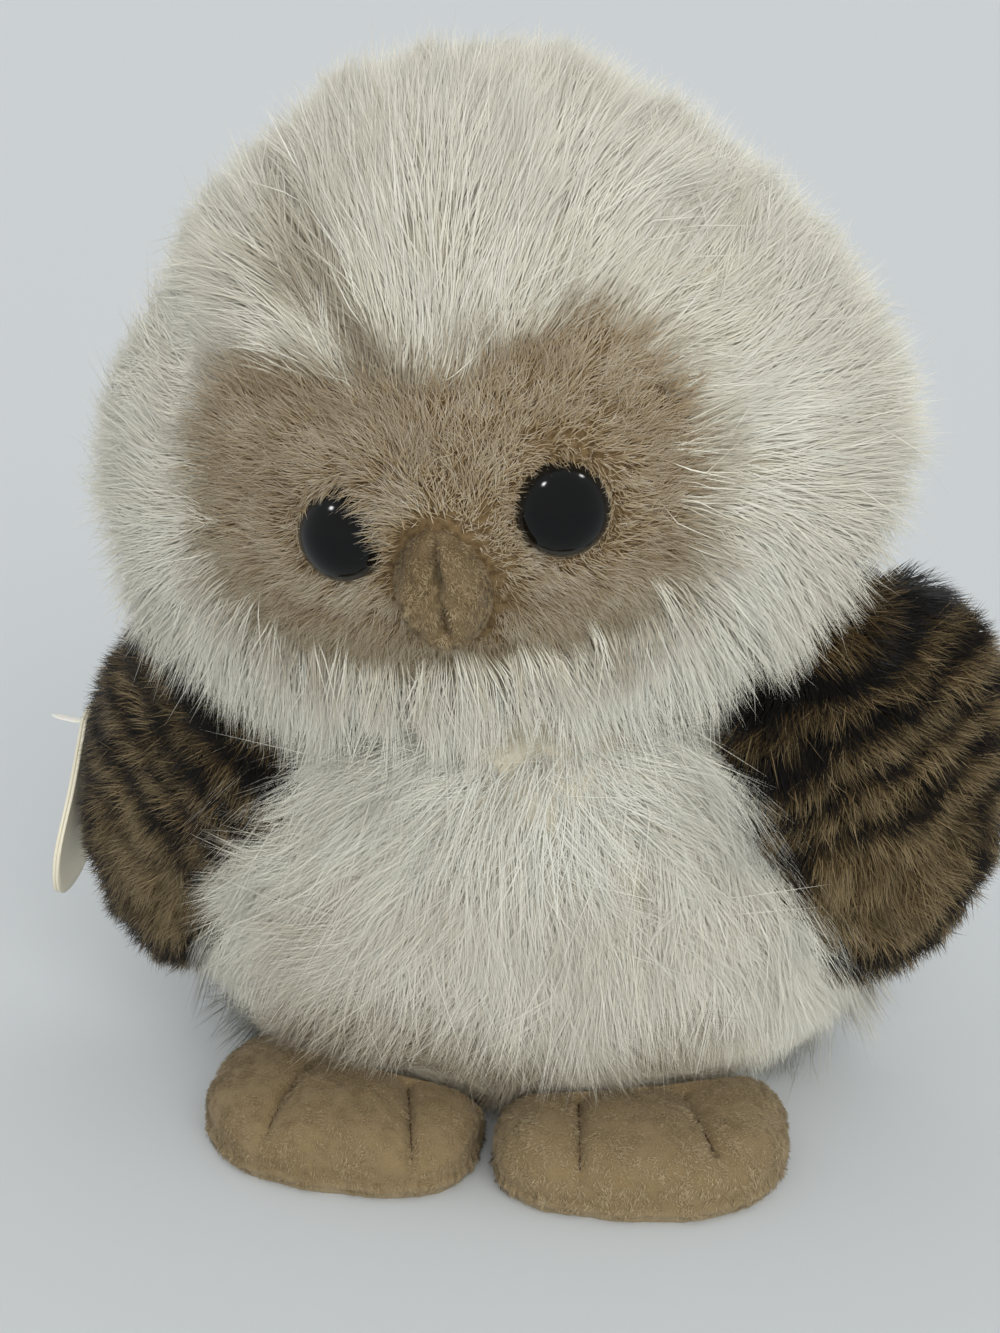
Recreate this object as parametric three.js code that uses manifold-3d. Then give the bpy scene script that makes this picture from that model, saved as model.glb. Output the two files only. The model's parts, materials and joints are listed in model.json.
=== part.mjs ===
// A plush owl about 230 mm tall: a big tilted head, a pear-shaped body, wings, padded feet and a hang tag.
// Millimetres, +Z up, the owl looks along -Y. The origin is on the floor, under the middle of the neck.
import * as THREE from "three";
import { ParametricGeometry } from "three/addons/geometries/ParametricGeometry.js";
import { mergeVertices } from "three/addons/utils/BufferGeometryUtils.js";
import Module from "manifold-3d";

const wasm = await Module();
wasm.setup();

// Clearances
const seamGap = 0.4; // between two panels that are sewn edge to edge
const fillGap = 0.35; // between a cover and what it holds
const motionGap = 0.8; // between pieces that move past each other
const overrun = 60; // how far a cutter runs past what it cuts
const mergeDistance = 1e-4; // corners closer than this are one

// Head, measured from its middle to the dense surface of the pile
const headHalfWidth = 83;
const headHalfDepth = 71;
const headRise = 79; // middle to crown
const headDrop = 54; // middle to underside
const headCover = 15; // backing cloth with its long pile
const headAside = 5; // its middle from the owl's middle, towards the owl's right
const headTilt = THREE.MathUtils.degToRad(9); // towards the owl's right
const headTurn = 15; // degrees that the neck lets it turn each way

// Crown panel, sewn between the two side panels
const crownHalfWidthFront = 15; // at the brow and down the back
const crownHalfWidthTop = 30;
const browHeight = 30; // where the crown panel starts to widen

// Face panel, with a short pile
const faceInset = 7; // its surface below that of the fur round it
const faceForward = 3; // how far its form sits ahead of the head's
// The right half of the mask's outline: across and up from the head's middle
const maskHalfWidth = 50;
const maskHeight = 35;
const maskDrop = 31;
const maskOutlineShares = [
  [0.0, 0.76],
  [0.32, 0.84],
  [0.64, 1.0],
  [0.9, 0.7],
  [1.0, 0.24],
  [0.96, -0.26],
  [0.78, -0.68],
  [0.44, -0.94],
  [0.0, -1.0],
];

// Eyes: moulded domes, each on a shank that a washer holds behind the cloth
const eyeRadius = 9;
const eyeDome = 7.5;
const eyeRim = 1.2; // the straight edge under the dome
const eyeApart = 44;
const eyesAside = 2.5; // their middle from the head's middle, towards the owl's left
const eyeHeight = 0.5; // above the head's middle
const eyeSplay = THREE.MathUtils.degToRad(27); // outwards from straight ahead
const eyeSink = 3.5; // the eye's back below the face's surface
const shankRadius = 2.4;
const shankLength = 14;
const shankRidge = 0.3; // the ridges that the washer grips
const shankRidgeCount = 3;
const washerRadius = 7;
const washerThickness = 1.6;
const washerDepth = 6.2; // from the eye's back to the washer

// Beak: an oval velour pad with a crease down its middle
const beakAside = -1; // its middle from the head's middle
const beakHalfWidth = 8.6;
const beakHalfHeight = 12;
const beakFront = 9.5;
const beakBack = 3;
const beakDrop = 11.5; // its middle below the head's middle
const beakSink = 3.5;
const beakOutlineShares = [
  [1, 0],
  [0.72, 0.72],
  [0, 1],
  [-0.72, 0.72],
  [-1, 0],
  [-0.72, -0.72],
  [0, -1],
  [0.72, -0.72],
];
const beakCreaseHalfWidth = 1.6;
const beakCreaseShare = 0.22; // of the beak's thickness

// Neck, where the covers of head and body are stitched together
const neckHeight = 104;
const neckCut = 8; // above the lowest point that the head's form would have
const neckHoleRadius = 19;
const neckBack = 3; // the neck's axis behind the origin

// Body: half width, front and back at each height, on the dense surface of the pile
const bodyHalfWidth = 76;
const bodyFront = 45;
const bodyBack = 60;
const bodyStationShares = [
  // height, half width, front, back
  [0.0, 0.72, 0.54, 0.82],
  [0.09, 0.88, 0.72, 0.94],
  [0.24, 1.0, 0.87, 1.0],
  [0.43, 0.97, 0.98, 1.0],
  [0.63, 0.86, 1.0, 0.92],
  [0.82, 0.71, 0.93, 0.76],
  [0.93, 0.58, 0.82, 0.62],
  [1.0, 0.47, 0.7, 0.52],
];
const bodyCover = 10;
const bodySeamBack = 8; // the side seams behind the origin
const baseThickness = 3;

// Wings: flat padded pear shapes that stand out and back from the shoulders. The right one is sewn lower
const wingChord = 71;
const wingHeight = 95;
const wingHalfThickness = 14;
const wingCover = 7;
const wingSweep = THREE.MathUtils.degToRad(31); // backwards from straight out
const wingForward = 2;
// The left wing's middle is level with the body's widest place, the right one's is inside it
const wingTuckRight = 3;
const wingDropLeft = 25; // each wing's middle below the neck
const wingDropRight = 39;
// How far each wing's foot leans outwards
const wingLeanLeft = THREE.MathUtils.degToRad(0);
const wingLeanRight = THREE.MathUtils.degToRad(17);
// Outwards and up from its middle
const wingOutlineShares = [
  [0.5, 0.02],
  [0.46, 0.22],
  [0.3, 0.41],
  [0.05, 0.5],
  [-0.3, 0.43],
  [-0.49, 0.2],
  [-0.42, -0.12],
  [-0.22, -0.38],
  [0.0, -0.49],
  [0.31, -0.41],
  [0.47, -0.22],
];
const wingPivotTuck = 20; // inside the body's widest place
const wingPivotHeight = 32; // above the wing's middle
const wingLift = 30; // degrees

// Feet: padded velour, cut flat underneath, with two stitched lines that part three toes
const footWidth = 62;
const footLength = 50;
const footTop = 17;
const footHalfThickness = 10;
const footCover = 2.6;
const footSole = 2.2;
const feetApart = 4;
const footTuck = 11; // its middle behind the foremost place of the belly
// Outwards and forwards from its middle
const footOutlineShares = [
  [0.5, -0.05],
  [0.45, 0.22],
  [0.26, 0.43],
  [-0.05, 0.5],
  [-0.34, 0.47],
  [-0.48, 0.3],
  [-0.49, -0.05],
  [-0.38, -0.36],
  [-0.1, -0.5],
  [0.2, -0.48],
  [0.44, -0.32],
];
const footLift = 15; // degrees
const footPivotHeight = 9;
// The two ends of the line it turns on
const footPivotInnerShares = [-0.468, -0.04];
const footPivotOuterShares = [0.435, -0.48];
const threadRadius = 0.6;
// Each toe line runs from the instep over the front edge: outwards and forwards from the foot's middle
const toeLineShares = [
  { name: "inner", back: [-0.24, 0.06], front: [-0.24, 0.37] },
  { name: "outer", back: [0.14, -0.06], front: [0.28, 0.25] },
];
const toeLineDip = THREE.MathUtils.degToRad(50); // how far round the front edge a line reaches

// Hang tag and its plastic fastener, on the rim of the right wing
const tagLength = 49;
const tagWidth = 28;
const tagThickness = 1.5;
// The right half of the tag's outline, from its top end down
const tagOutlineShares = [
  [0, 0],
  [0.17, -0.035],
  [0.22, -0.13],
  [0.32, -0.38],
  [0.5, -0.7],
  [0.36, -0.93],
  [0, -1],
];
const tagHoleRadius = 1.2;
const tagHoleDown = 5; // from the tag's top end
const tagRise = 9; // the hole above the wing's middle
const tagLean = THREE.MathUtils.degToRad(10); // its foot leans away from the owl
const tagOffRim = 2; // from the wing's pile to the tag
const fastenerRadius = 0.6;
const fastenerOutside = 9; // how far it stands out of the tag
const fastenerPaddleLength = 7;
const fastenerPaddleWidth = 2.6;
const fastenerPaddleThickness = 0.9;
const fastenerBarLength = 9;
const fastenerBarRadius = 0.7;
const fastenerInside = 12; // how far it goes into the wing

const paints = {
  cream: { color: 0xe4dfd2, roughness: 0.95 },
  tan: { color: 0xa08a70, roughness: 0.95 },
  brown: { color: 0x5a4a38, roughness: 0.95 },
  velour: { color: 0xa1876a, roughness: 0.9 },
  black: { color: 0x060606, roughness: 0.08 },
  filling: { color: 0xf2f1ec, roughness: 1 },
  card: { color: 0xe9e0c4, roughness: 0.5 },
  plastic: { color: 0xe8e8e0, roughness: 0.35 },
  thread: { color: 0x5c4634, roughness: 0.8 },
};

const owl = new THREE.Group();

// A closed geometry as a solid that can be joined and cut.
function solidOf(geometry) {
  const bare = geometry.index ? geometry.toNonIndexed() : geometry.clone();
  bare.deleteAttribute("normal");
  bare.deleteAttribute("uv");
  const merged = mergeVertices(bare, mergeDistance);
  return new wasm.Manifold(
    new wasm.Mesh({
      numProp: 3,
      vertProperties: merged.attributes.position.array,
      triVerts: new Uint32Array(merged.index.array),
    }),
  );
}

function geometryOf(solid) {
  const cut = solid.getMesh();
  const geometry = new THREE.BufferGeometry();
  const places = new Float32Array(cut.numVert * 3);
  for (let i = 0; i < cut.numVert; i++) {
    places.set(cut.vertProperties.subarray(i * cut.numProp, i * cut.numProp + 3), i * 3);
  }
  geometry.setAttribute("position", new THREE.BufferAttribute(places, 3));
  geometry.setIndex(new THREE.BufferAttribute(cut.triVerts, 1));
  geometry.computeVertexNormals();
  return geometry;
}

// A cut can leave a crumb at a seam: the panel is the largest piece.
function largestPiece(solid) {
  return solid.decompose().reduce((a, b) => (a.volume() > b.volume() ? a : b));
}

function addMesh(group, name, solid, paint) {
  const material = new THREE.MeshStandardMaterial({ ...paint, metalness: 0 });
  const mesh = new THREE.Mesh(geometryOf(largestPiece(solid)), material);
  mesh.name = name;
  group.add(mesh);
  return mesh;
}

// The same geometry on the other side of the owl, its faces still pointing out.
function sided(geometry, side) {
  if (side > 0) return geometry;
  const turned = geometry.index ? geometry.toNonIndexed() : geometry.clone();
  turned.scale(-1, 1, 1);
  const places = turned.attributes.position;
  const corner = new THREE.Vector3();
  const other = new THREE.Vector3();
  for (let i = 0; i < places.count; i += 3) {
    corner.fromBufferAttribute(places, i + 1);
    other.fromBufferAttribute(places, i + 2);
    places.setXYZ(i + 1, other.x, other.y, other.z);
    places.setXYZ(i + 2, corner.x, corner.y, corner.z);
  }
  return turned;
}

// An egg with its poles along Z, each half with a height of its own.
function egg(halfWidth, halfDepth, rise, drop, sides, rings) {
  const geometry = new THREE.SphereGeometry(1, sides, rings).rotateX(Math.PI / 2);
  const places = geometry.attributes.position;
  for (let i = 0; i < places.count; i++) {
    const z = places.getZ(i);
    places.setXYZ(i, places.getX(i) * halfWidth, places.getY(i) * halfDepth, z * (z > 0 ? rise : drop));
  }
  return geometry;
}

// A closed smooth outline through shares of a width and a length.
function outlineOf(shares, width, length) {
  const points = shares.map(([x, y]) => new THREE.Vector3(x * width, y * length, 0));
  return new THREE.CatmullRomCurve3(points, true, "catmullrom", 0.5);
}

// A stuffed pad in the XZ plane: the outline shrinks to a pole in front (-Y) and one at the back.
// fullness under 1 keeps its faces flat and its rim round.
function pad(outline, front, back, sides, rings, fullness = 0.62, dent = () => 1) {
  const place = (u, v, target) => {
    const edge = outline.getPoint(u);
    const angle = (v - 1 / 2) * Math.PI;
    const reach = v === 0 || v === 1 ? 0 : Math.cos(angle) ** fullness;
    const x = edge.x * reach;
    const z = edge.y * reach;
    const depth = Math.sin(angle);
    const thick = depth > 0 ? front * dent(x) : back;
    target.set(x, -depth * thick, z);
  };
  return new ParametricGeometry(place, sides, rings);
}

// An upright form with oval cross-sections and flat ends, smooth through its stations.
function ovalLoft(stations, sides, rings) {
  const curveOf = (pick) =>
    new THREE.CatmullRomCurve3(
      stations.map((s) => new THREE.Vector3(pick(s), 0, s.height)),
      false,
      "catmullrom",
      0.5,
    );
  const widths = curveOf((s) => s.halfWidth);
  const middles = curveOf((s) => (s.back - s.front) / 2);
  const depths = curveOf((s) => (s.back + s.front) / 2);
  // The first and the last step close the flat ends
  const steps = rings + 2;
  const place = (u, v, target) => {
    const step = Math.round(v * steps);
    const t = THREE.MathUtils.clamp((step - 1) / rings, 0, 1);
    const reach = step === 0 || step === steps ? 0 : 1;
    const angle = u * 2 * Math.PI;
    const width = widths.getPoint(t);
    target.set(
      Math.cos(angle) * width.x * reach,
      middles.getPoint(t).x + Math.sin(angle) * depths.getPoint(t).x * reach,
      width.z,
    );
  };
  return new ParametricGeometry(place, sides, steps);
}

// A box from its lowest to its highest corner.
function boxBetween(low, high) {
  const size = new THREE.Vector3().subVectors(high, low);
  const geometry = new THREE.BoxGeometry(size.x, size.y, size.z);
  const middle = new THREE.Vector3().addVectors(low, high).multiplyScalar(1 / 2);
  return geometry.translate(middle.x, middle.y, middle.z);
}

// A prism of an outline in the XZ plane, from one place along Y to another.
function prism(points, fromY, toY) {
  const shape = new THREE.Shape(points);
  const geometry = new THREE.ExtrudeGeometry(shape, { depth: toY - fromY, bevelEnabled: false });
  return geometry.rotateX(Math.PI / 2).translate(0, toY, 0);
}

// A copy of a geometry turned by some degrees about a line.
function turnedAbout(geometry, point, axis, degrees) {
  const turn = new THREE.Matrix4().makeRotationAxis(axis, THREE.MathUtils.degToRad(degrees));
  return geometry
    .clone()
    .translate(-point.x, -point.y, -point.z)
    .applyMatrix4(turn)
    .translate(point.x, point.y, point.z);
}

// Head

const headGroup = new THREE.Group();
headGroup.position.set(-headAside, 0, neckHeight + headDrop - neckCut);
headGroup.rotation.y = -headTilt;
headGroup.updateMatrix();
owl.add(headGroup);
const intoHead = headGroup.matrix.clone().invert();

const headSides = 30;
const headRings = 15;
const insideSides = 16;
const insideRings = 8;

function headForm(inset, sides, rings) {
  const [halfWidth, halfDepth, rise, drop] = [headHalfWidth, headHalfDepth, headRise, headDrop].map(
    (radius) => radius - inset,
  );
  return egg(halfWidth, halfDepth, rise, drop, sides, rings);
}

// The mask's outline, grown or shrunk by some millimetres.
function maskPoints(grow) {
  const half = maskOutlineShares.map(([x, z]) => [
    x * (maskHalfWidth + grow),
    z * (z > 0 ? maskHeight + grow : maskDrop + grow),
  ]);
  return mirroredOutline(half, 36);
}

// Where the face's form is in front of a point of the head.
function faceDepthAt(x, z) {
  const height = (z > 0 ? headRise : headDrop) - faceInset;
  const left = 1 - (x / (headHalfWidth - faceInset)) ** 2 - (z / height) ** 2;
  return -faceForward - (headHalfDepth - faceInset) * Math.sqrt(left);
}

// The wedge of the head that the crown panel covers, with its two seams.
function crownRegion(grow) {
  const low = crownHalfWidthFront + grow;
  const high = crownHalfWidthTop + grow;
  const top = headRise + overrun;
  const topHalfWidth = high + ((high - low) * overrun) / (headRise - browHeight);
  const upper = [
    new THREE.Vector2(-low, 0),
    new THREE.Vector2(low, 0),
    new THREE.Vector2(low, browHeight),
    new THREE.Vector2(topHalfWidth, top),
    new THREE.Vector2(-topHalfWidth, top),
    new THREE.Vector2(-low, browHeight),
  ];
  const reach = headHalfDepth + overrun;
  const lower = boxBetween(new THREE.Vector3(-low, 0, -reach), new THREE.Vector3(low, reach, grow));
  return solidOf(prism(upper, -reach, reach)).add(solidOf(lower));
}

// The space under the neck's plane, and the round hole through the neck, in the head's own frame.
function underNeck(gap) {
  const reach = headHalfWidth + overrun;
  const low = new THREE.Vector3(-reach, -reach, -reach);
  const high = new THREE.Vector3(reach, reach, neckHeight + gap);
  return solidOf(boxBetween(low, high).applyMatrix4(intoHead));
}

function neckColumn(radius) {
  const column = new THREE.CylinderGeometry(radius, radius, 2 * headDrop, 24).rotateX(Math.PI / 2);
  return column.translate(0, neckBack, neckHeight);
}

function buildEye(side) {
  const x = eyesAside + (side * eyeApart) / 2;
  const group = new THREE.Group();
  const outward = new THREE.Vector3(side * Math.sin(eyeSplay), -Math.cos(eyeSplay), 0);
  group.position.set(x, faceDepthAt(x, eyeHeight), eyeHeight).addScaledVector(outward, -eyeSink);
  group.quaternion.setFromUnitVectors(new THREE.Vector3(0, 1, 0), outward);
  group.updateMatrix();
  headGroup.add(group);

  const groove = shankRadius - shankRidge;
  const profile = [new THREE.Vector2(0, -shankLength), new THREE.Vector2(groove, -shankLength)];
  const gripLength = shankLength - washerDepth;
  for (let i = 0; i < shankRidgeCount; i++) {
    const from = -shankLength + (gripLength * (i + 1 / 4)) / shankRidgeCount;
    const to = -shankLength + (gripLength * (i + 3 / 4)) / shankRidgeCount;
    profile.push(new THREE.Vector2(shankRadius, from), new THREE.Vector2(groove, to));
  }
  profile.push(new THREE.Vector2(shankRadius, -washerDepth), new THREE.Vector2(shankRadius, 0));
  profile.push(new THREE.Vector2(eyeRadius, 0));
  const domeSteps = 5;
  for (let i = 0; i < domeSteps; i++) {
    const angle = (i / domeSteps) * (Math.PI / 2);
    profile.push(new THREE.Vector2(eyeRadius * Math.cos(angle), eyeRim + eyeDome * Math.sin(angle)));
  }
  profile.push(new THREE.Vector2(0, eyeRim + eyeDome));
  const name = side > 0 ? "left" : "right";
  addMesh(group, `eye_${name}`, solidOf(new THREE.LatheGeometry(profile, 18)), paints.black);

  const washerHole = shankRadius + fillGap;
  const washer = [
    new THREE.Vector2(washerHole, -washerDepth - washerThickness),
    new THREE.Vector2(washerRadius, -washerDepth - washerThickness),
    new THREE.Vector2(washerRadius, -washerDepth),
    new THREE.Vector2(washerHole, -washerDepth),
    new THREE.Vector2(washerHole, -washerDepth - washerThickness),
  ];
  addMesh(group, `eye_washer_${name}`, solidOf(new THREE.LatheGeometry(washer, 16)), paints.plastic);

  // The room that the dome, the shank and the washer take in the cloth and the filling
  const room = (radius, low, high) => {
    const column = new THREE.CylinderGeometry(radius, radius, high - low, 18);
    return solidOf(column.translate(0, (low + high) / 2, 0).applyMatrix4(group.matrix));
  };
  const back = -washerDepth - washerThickness - fillGap;
  return room(eyeRadius + fillGap, -fillGap, overrun)
    .add(room(shankRadius + fillGap, -shankLength - fillGap, overrun))
    .add(room(washerRadius + fillGap, back, -washerDepth + fillGap));
}

function beakPad(grow) {
  const rim = outlineOf(beakOutlineShares, beakHalfWidth + grow, beakHalfHeight + grow);
  const crease = (x) => 1 - beakCreaseShare * Math.exp(-((x / beakCreaseHalfWidth) ** 2));
  const form = pad(rim, beakFront + grow, beakBack + grow, 20, 8, 0.7, crease);
  return form.translate(beakAside, faceDepthAt(beakAside, -beakDrop) + beakSink, -beakDrop);
}

function buildHead() {
  const outside = solidOf(headForm(0, headSides, headRings));
  const hollow = solidOf(headForm(headCover, insideSides, insideRings));
  const column = solidOf(neckColumn(neckHoleRadius).applyMatrix4(intoHead));
  const reach = headHalfWidth + overrun;
  const shell = outside.subtract(hollow).subtract(column).subtract(underNeck(fillGap));
  const maskHole = solidOf(prism(maskPoints(seamGap / 2), -reach, 0));
  const furred = shell.subtract(maskHole);

  addMesh(headGroup, "head_crown_panel", furred.intersect(crownRegion(-seamGap / 2)), paints.cream);
  const sidePanels = furred.subtract(crownRegion(seamGap / 2));
  for (const side of [1, -1]) {
    const low = new THREE.Vector3(side > 0 ? seamGap / 2 : -reach, -reach, -reach);
    const high = new THREE.Vector3(side > 0 ? reach : -seamGap / 2, reach, reach);
    const name = side > 0 ? "left" : "right";
    const panel = sidePanels.intersect(solidOf(boxBetween(low, high)));
    addMesh(headGroup, `head_side_panel_${name}`, panel, paints.cream);
  }

  const eyeRooms = buildEye(1).add(buildEye(-1));
  const mask = solidOf(prism(maskPoints(-seamGap / 2), -reach, 0));
  const face = solidOf(headForm(faceInset, headSides, headRings).translate(0, -faceForward, 0))
    .intersect(mask)
    .subtract(hollow)
    .subtract(eyeRooms)
    .subtract(solidOf(beakPad(fillGap)));
  addMesh(headGroup, "face_panel", face, paints.tan);
  addMesh(headGroup, "beak", solidOf(beakPad(0)), paints.velour);

  const plug = solidOf(neckColumn(neckHoleRadius - fillGap).applyMatrix4(intoHead))
    .subtract(underNeck(fillGap))
    .intersect(outside);
  const filling = solidOf(headForm(headCover + fillGap, insideSides, insideRings))
    .add(plug)
    .subtract(underNeck(fillGap))
    .subtract(eyeRooms);
  addMesh(headGroup, "head_filling", filling, paints.filling);
}

// The head with some clearance, all the way through its turn: its neighbours stay out of this space.
const neckAxisPoint = new THREE.Vector3(0, neckBack, 0);
const upwards = new THREE.Vector3(0, 0, 1);

function headSwept() {
  const form = headForm(-motionGap, headSides, headRings).applyMatrix4(headGroup.matrix);
  const reach = headHalfWidth + overrun;
  const underneath = boxBetween(
    new THREE.Vector3(-reach, -reach, -reach),
    new THREE.Vector3(reach, reach, neckHeight - motionGap),
  );
  return [-headTurn, -headTurn / 2, 0, headTurn / 2, headTurn]
    .map((degrees) => solidOf(turnedAbout(form, neckAxisPoint, upwards, degrees)))
    .reduce((a, b) => a.add(b))
    .subtract(solidOf(underneath));
}

// Body

function bodyForm(inset, sides, rings) {
  const stations = bodyStationShares.map(([height, width, front, back]) => ({
    height: THREE.MathUtils.clamp(height * neckHeight, Math.max(inset, 0), neckHeight - Math.max(inset, 0)),
    halfWidth: width * bodyHalfWidth - inset,
    front: front * bodyFront - inset,
    back: back * bodyBack - inset,
  }));
  return ovalLoft(stations, sides, rings);
}

function buildBody() {
  const reach = bodyHalfWidth + bodyBack + overrun;
  const outside = solidOf(bodyForm(0, 28, 10));
  const hollow = solidOf(bodyForm(bodyCover, 16, 6));
  const column = solidOf(neckColumn(neckHoleRadius));
  const shell = outside.subtract(hollow).subtract(column);
  const slice = (lowY, highY, lowZ, highZ) =>
    solidOf(boxBetween(new THREE.Vector3(-reach, lowY, lowZ), new THREE.Vector3(reach, highY, highZ)));

  const front = slice(-reach, bodySeamBack - seamGap / 2, baseThickness + seamGap, reach);
  const back = slice(bodySeamBack + seamGap / 2, reach, baseThickness + seamGap, reach);
  const base = slice(-reach, reach, -overrun, baseThickness);
  addMesh(owl, "belly_panel", shell.intersect(front), paints.cream);
  addMesh(owl, "back_panel", shell.intersect(back), paints.cream);
  addMesh(owl, "base_panel", outside.intersect(base), paints.cream);

  const top = slice(-reach, reach, neckHeight / 2, neckHeight);
  const plug = solidOf(neckColumn(neckHoleRadius - fillGap)).intersect(top);
  const low = slice(-reach, reach, baseThickness + fillGap, neckHeight);
  const filling = solidOf(bodyForm(bodyCover + fillGap, 16, 6))
    .add(plug)
    .intersect(low);
  addMesh(owl, "body_filling", filling, paints.filling);
}

// Wings

function buildWing(side, bodySpace, headSpace) {
  const name = side > 0 ? "left" : "right";
  const group = new THREE.Group();
  const middle = neckHeight - (side > 0 ? wingDropLeft : wingDropRight);
  const lean = side > 0 ? wingLeanLeft : wingLeanRight;
  group.position.set(side > 0 ? bodyHalfWidth : wingTuckRight - bodyHalfWidth, -wingForward, middle);
  group.rotation.set(0, -side * lean, side * wingSweep, "ZYX");
  group.updateMatrix();
  owl.add(group);
  const intoWing = group.matrix.clone().invert();

  const wingPad = (inset, sides, rings) => {
    const rim = outlineOf(wingOutlineShares, wingChord - 2 * inset, wingHeight - 2 * inset);
    const depth = wingHalfThickness - inset;
    return solidOf(sided(pad(rim, depth, depth, sides, rings), side));
  };
  // The wing swings out about the shoulder and stays clear of the head and the body all the way
  const pivot = new THREE.Vector3(side * (bodyHalfWidth - wingPivotTuck), 0, middle + wingPivotHeight);
  const axis = new THREE.Vector3(0, -side, 0);
  const neighbours = [0, wingLift / 2, wingLift]
    .flatMap((degrees) =>
      [headSpace, bodySpace].map((space) =>
        solidOf(turnedAbout(space, pivot, axis, -degrees).applyMatrix4(intoWing)),
      ),
    )
    .reduce((a, b) => a.add(b));

  const outside = wingPad(0, 24, 8).subtract(neighbours);
  const hollow = wingPad(wingCover, 16, 6);
  const shell = outside.subtract(hollow);
  const reach = wingHeight + overrun;
  const half = (lowY, highY) =>
    solidOf(boxBetween(new THREE.Vector3(-reach, lowY, -reach), new THREE.Vector3(reach, highY, reach)));
  const pieces = {
    face: shell.intersect(half(-reach, -seamGap / 2)),
    lining: shell.intersect(half(seamGap / 2, reach)),
    filling: wingPad(wingCover + fillGap, 16, 6).subtract(neighbours),
  };
  // The tag is fastened to the rim of the right wing only
  const fastener = side < 0 ? buildFastener(group) : null;
  for (const [kind, solid] of Object.entries(pieces)) {
    const paint = kind === "filling" ? paints.filling : paints.brown;
    addMesh(group, `wing_${name}_${kind}`, fastener ? solid.subtract(fastener) : solid, paint);
  }
}

// The fastener and its tag. Returns the room that the fastener takes in the wing.
function buildFastener(wingGroup) {
  const group = new THREE.Group();
  group.position.copy(wingRimAt(wingGroup.position.z + tagRise, wingGroup));
  group.rotation.y = tagLean;
  group.updateMatrix();
  owl.add(group);

  // Along -X: the bar in the wing, the thread through the rim and the tag, and the paddle outside
  const tagFar = tagOffRim + tagThickness;
  const paddleEnd = tagFar + fastenerOutside;
  const paddleStart = paddleEnd - fastenerPaddleLength;
  const paddleHalf = new THREE.Vector2(fastenerPaddleWidth, fastenerPaddleThickness).divideScalar(2);
  const rod = (radius, from, to) => {
    const cylinder = new THREE.CylinderGeometry(radius, radius, to - from, 12).rotateZ(Math.PI / 2);
    return cylinder.translate(-(from + to) / 2, 0, 0);
  };
  const bar = (radius, length) =>
    new THREE.CylinderGeometry(radius, radius, length, 12).translate(fastenerInside, 0, 0);
  const paddle = boxBetween(
    new THREE.Vector3(-paddleEnd, -paddleHalf.x, -paddleHalf.y),
    new THREE.Vector3(-paddleStart, paddleHalf.x, paddleHalf.y),
  );
  const fastener = solidOf(rod(fastenerRadius, -fastenerInside, paddleStart + fastenerPaddleThickness))
    .add(solidOf(bar(fastenerBarRadius, fastenerBarLength)))
    .add(solidOf(paddle));
  addMesh(group, "tag_fastener", fastener, paints.plastic);

  // The top of the tag's hole rests on the thread
  const hang = tagHoleRadius - fastenerRadius - fillGap;
  const hole = rod(tagHoleRadius, -overrun, paddleEnd + overrun).translate(0, 0, -hang);
  const tag = solidOf(tagPlate(tagOffRim, tagFar).translate(0, 0, -hang)).subtract(solidOf(hole));
  addMesh(group, "hang_tag", tag, paints.card);

  const intoWing = wingGroup.matrix.clone().invert().multiply(group.matrix);
  const threadRoom = rod(fastenerRadius + fillGap, -fastenerInside, wingChord);
  const barRoom = bar(fastenerBarRadius + fillGap, fastenerBarLength + 2 * fillGap);
  return solidOf(threadRoom.applyMatrix4(intoWing)).add(solidOf(barRoom.applyMatrix4(intoWing)));
}

// Where the right wing's rim is at a height above the floor: outwards from the owl's middle, and back.
function wingRimAt(height, wingGroup) {
  const rim = outlineOf(wingOutlineShares, wingChord, wingHeight);
  const outer = rim
    .getPoints(120)
    .filter((p) => p.x > 0)
    .map((p) => new THREE.Vector3(-p.x, 0, p.y).applyMatrix4(wingGroup.matrix));
  return outer.reduce((a, b) => (Math.abs(a.z - height) < Math.abs(b.z - height) ? a : b));
}

// A curve through shares of a right half, mirrored to a closed outline.
function mirroredOutline(half, count) {
  const others = half
    .slice(1, -1)
    .reverse()
    .map(([x, y]) => [-x, y]);
  const ring = new THREE.CatmullRomCurve3(
    [...half, ...others].map(([x, y]) => new THREE.Vector3(x, y, 0)),
    true,
    "catmullrom",
    0.5,
  );
  return ring
    .getPoints(count)
    .slice(0, -1)
    .map((p) => new THREE.Vector2(p.x, p.y));
}

// A flat pear-shaped card in the YZ plane, hanging down from its hole.
function tagPlate(near, far) {
  const half = tagOutlineShares.map(([x, z]) => [x * tagWidth, tagHoleDown + z * tagLength]);
  return prism(mirroredOutline(half, 32), near, far).rotateZ(Math.PI / 2);
}

// Feet

const footMiddle = footTop - footHalfThickness;

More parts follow.
